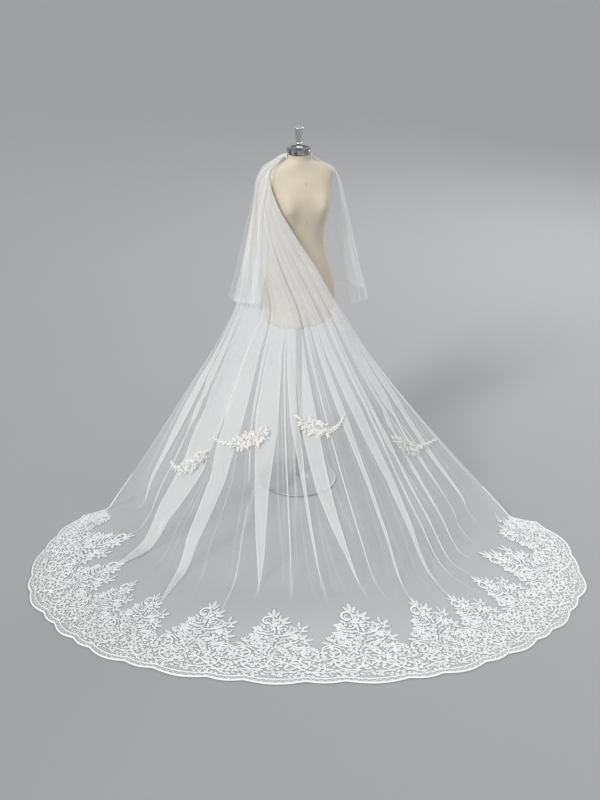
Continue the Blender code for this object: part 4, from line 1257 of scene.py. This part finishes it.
def make_sprays(material, train, cloth_tree):
    """The four crescent sprays, sewn on the crests of the train's folds."""
    smooth = train.smooth
    pieces = []
    for index, spray in enumerate(SPRAYS, start=1):
        lace = draw_spray(20 + index, spray.length, spray.height, spray.curl)
        piece = finished(f"spray_{index}", lace.bm, material, "lace", f"lace_spray_{index}")
        x, y, height = points_of(piece).T
        row = HIP_ROW + np.interp(spray.run, (0.0, *FAN_RUNS), np.arange(len(FAN_RUNS) + 1))
        centre = np.array([np.interp(row, train.line[:, 0], np.arange(len(smooth)))])
        column = np.array([spray.across * (smooth.shape[1] - 1)])
        across_step = np.linalg.norm(between(smooth, centre, column + 2) - between(smooth, centre, column - 2)) / 4
        down_step = np.linalg.norm(between(smooth, centre + 2, column) - between(smooth, centre - 2, column)) / 4
        sine, cosine = math.sin(math.radians(spray.turn)), math.cos(math.radians(spray.turn))
        columns = column + spray.tail * (x * cosine + y * sine) / across_step
        rows = centre + (x * sine - y * cosine) / down_step
        spots = between(smooth, rows, columns)
        outward = unit(between(train.normals, rows, columns))
        lift = 0.0
        for spot, normal in zip(spots[::5], outward[::5]):
            hit = cloth_tree.ray_cast(Vector(spot + normal * PROBE), Vector(-normal), PROBE)[3]
            if hit is not None:
                lift = max(lift, PROBE - hit)
        spots += outward * (min(lift, MOST_LIFT) + SPRAY_LIFT + height[:, None])
        move_points(piece, spots)
        if spray.tail < 0:
            piece.data.flip_normals()
        pieces.append(piece)
    return pieces


# ---- The scene ----
def light(name, kind, aim, power, colour, place=(0.0, 0.0, 0.0), **settings):
    data = bpy.data.lights.new(name, kind)
    for key, value in {"energy": power, "color": colour, **settings}.items():
        setattr(data, key, value)
    lamp = placed(name, data)
    lamp.location = place
    lamp.rotation_euler = (Vector(aim) - Vector(place)).to_track_quat("-Z", "Y").to_euler()


def make_studio():
    bm = bmesh.new()
    bmesh.ops.create_grid(bm, x_segments=2, y_segments=2, size=400.0)
    bmesh.ops.translate(bm, verts=bm.verts, vec=(0, 0, -0.0012))
    floor = placed("floor", mesh_of(bm, "floor"))
    floor.data.materials.append(make_floor_finish())
    world = bpy.data.worlds.new("studio")
    bpy.context.scene.world = world
    world.use_nodes = True
    background = world.node_tree.nodes["Background"]
    background.inputs["Color"].default_value = (0.92, 0.93, 0.95, 1.0)
    background.inputs["Strength"].default_value = 0.66
    light("key", "SUN", (3.2, 3.9, -3.9), 2.15, (1.0, 0.99, 0.97), angle=math.radians(18))
    light("fill", "AREA", (0.0, -0.3, 0.6), 36, (0.97, 0.99, 1.0), (4.6, -2.6, 2.6),
          shape="RECTANGLE", size=3.0, size_y=3.0)
    light("rim", "AREA", (0.0, 0.0, 0.9), 110, (0.98, 0.99, 1.0), (2.6, 3.8, 3.6),
          shape="RECTANGLE", size=2.2, size_y=2.2)
    camera_data = bpy.data.cameras.new("camera")
    camera_data.lens = 53.9
    camera_data.sensor_width = 36.0
    camera_data.clip_end = 1000
    camera = placed("camera", camera_data)
    camera.location = (0.005, -5.0, 2.9)
    camera.rotation_euler = (math.radians(90 - 26.4), 0, 0)
    bpy.context.scene.camera = camera
    bpy.context.scene.view_settings.view_transform = "Standard"
    bpy.context.scene.view_settings.look = "None"
    bpy.context.scene.cycles.transparent_max_bounces = 64


tulle = make_tulle("sheer_tulle", (0.85, 0.857, 0.862), (0.86, 0.845, 0.812))
border_lace = make_lace("corded_lace", (0.82, 0.83, 0.832), (0.58, 0.595, 0.605))
spray_lace = make_lace("ivory_lace", (0.90, 0.892, 0.865), (0.68, 0.67, 0.64))

form_body = make_form(make_form_cover())
make_hardware(make_chrome(), make_satin_metal(), make_stand_steel())
form_tree = tree_of(form_body)
train_rows, ribs, rib_lengths = train_surface()
long_tier, train = make_long_tier(train_rows, tulle, form_tree)
cloth_tree = tree_of(long_tier)
short_tier = make_short_tier(tulle, [form_tree, cloth_tree])
make_heading(tulle)
fan = fan_grid(ribs, rib_lengths)
motifs = make_lace_border(border_lace, fan)
edge = make_edge_cords(border_lace, fan)
sprays = make_sprays(spray_lace, train, cloth_tree)
make_studio()
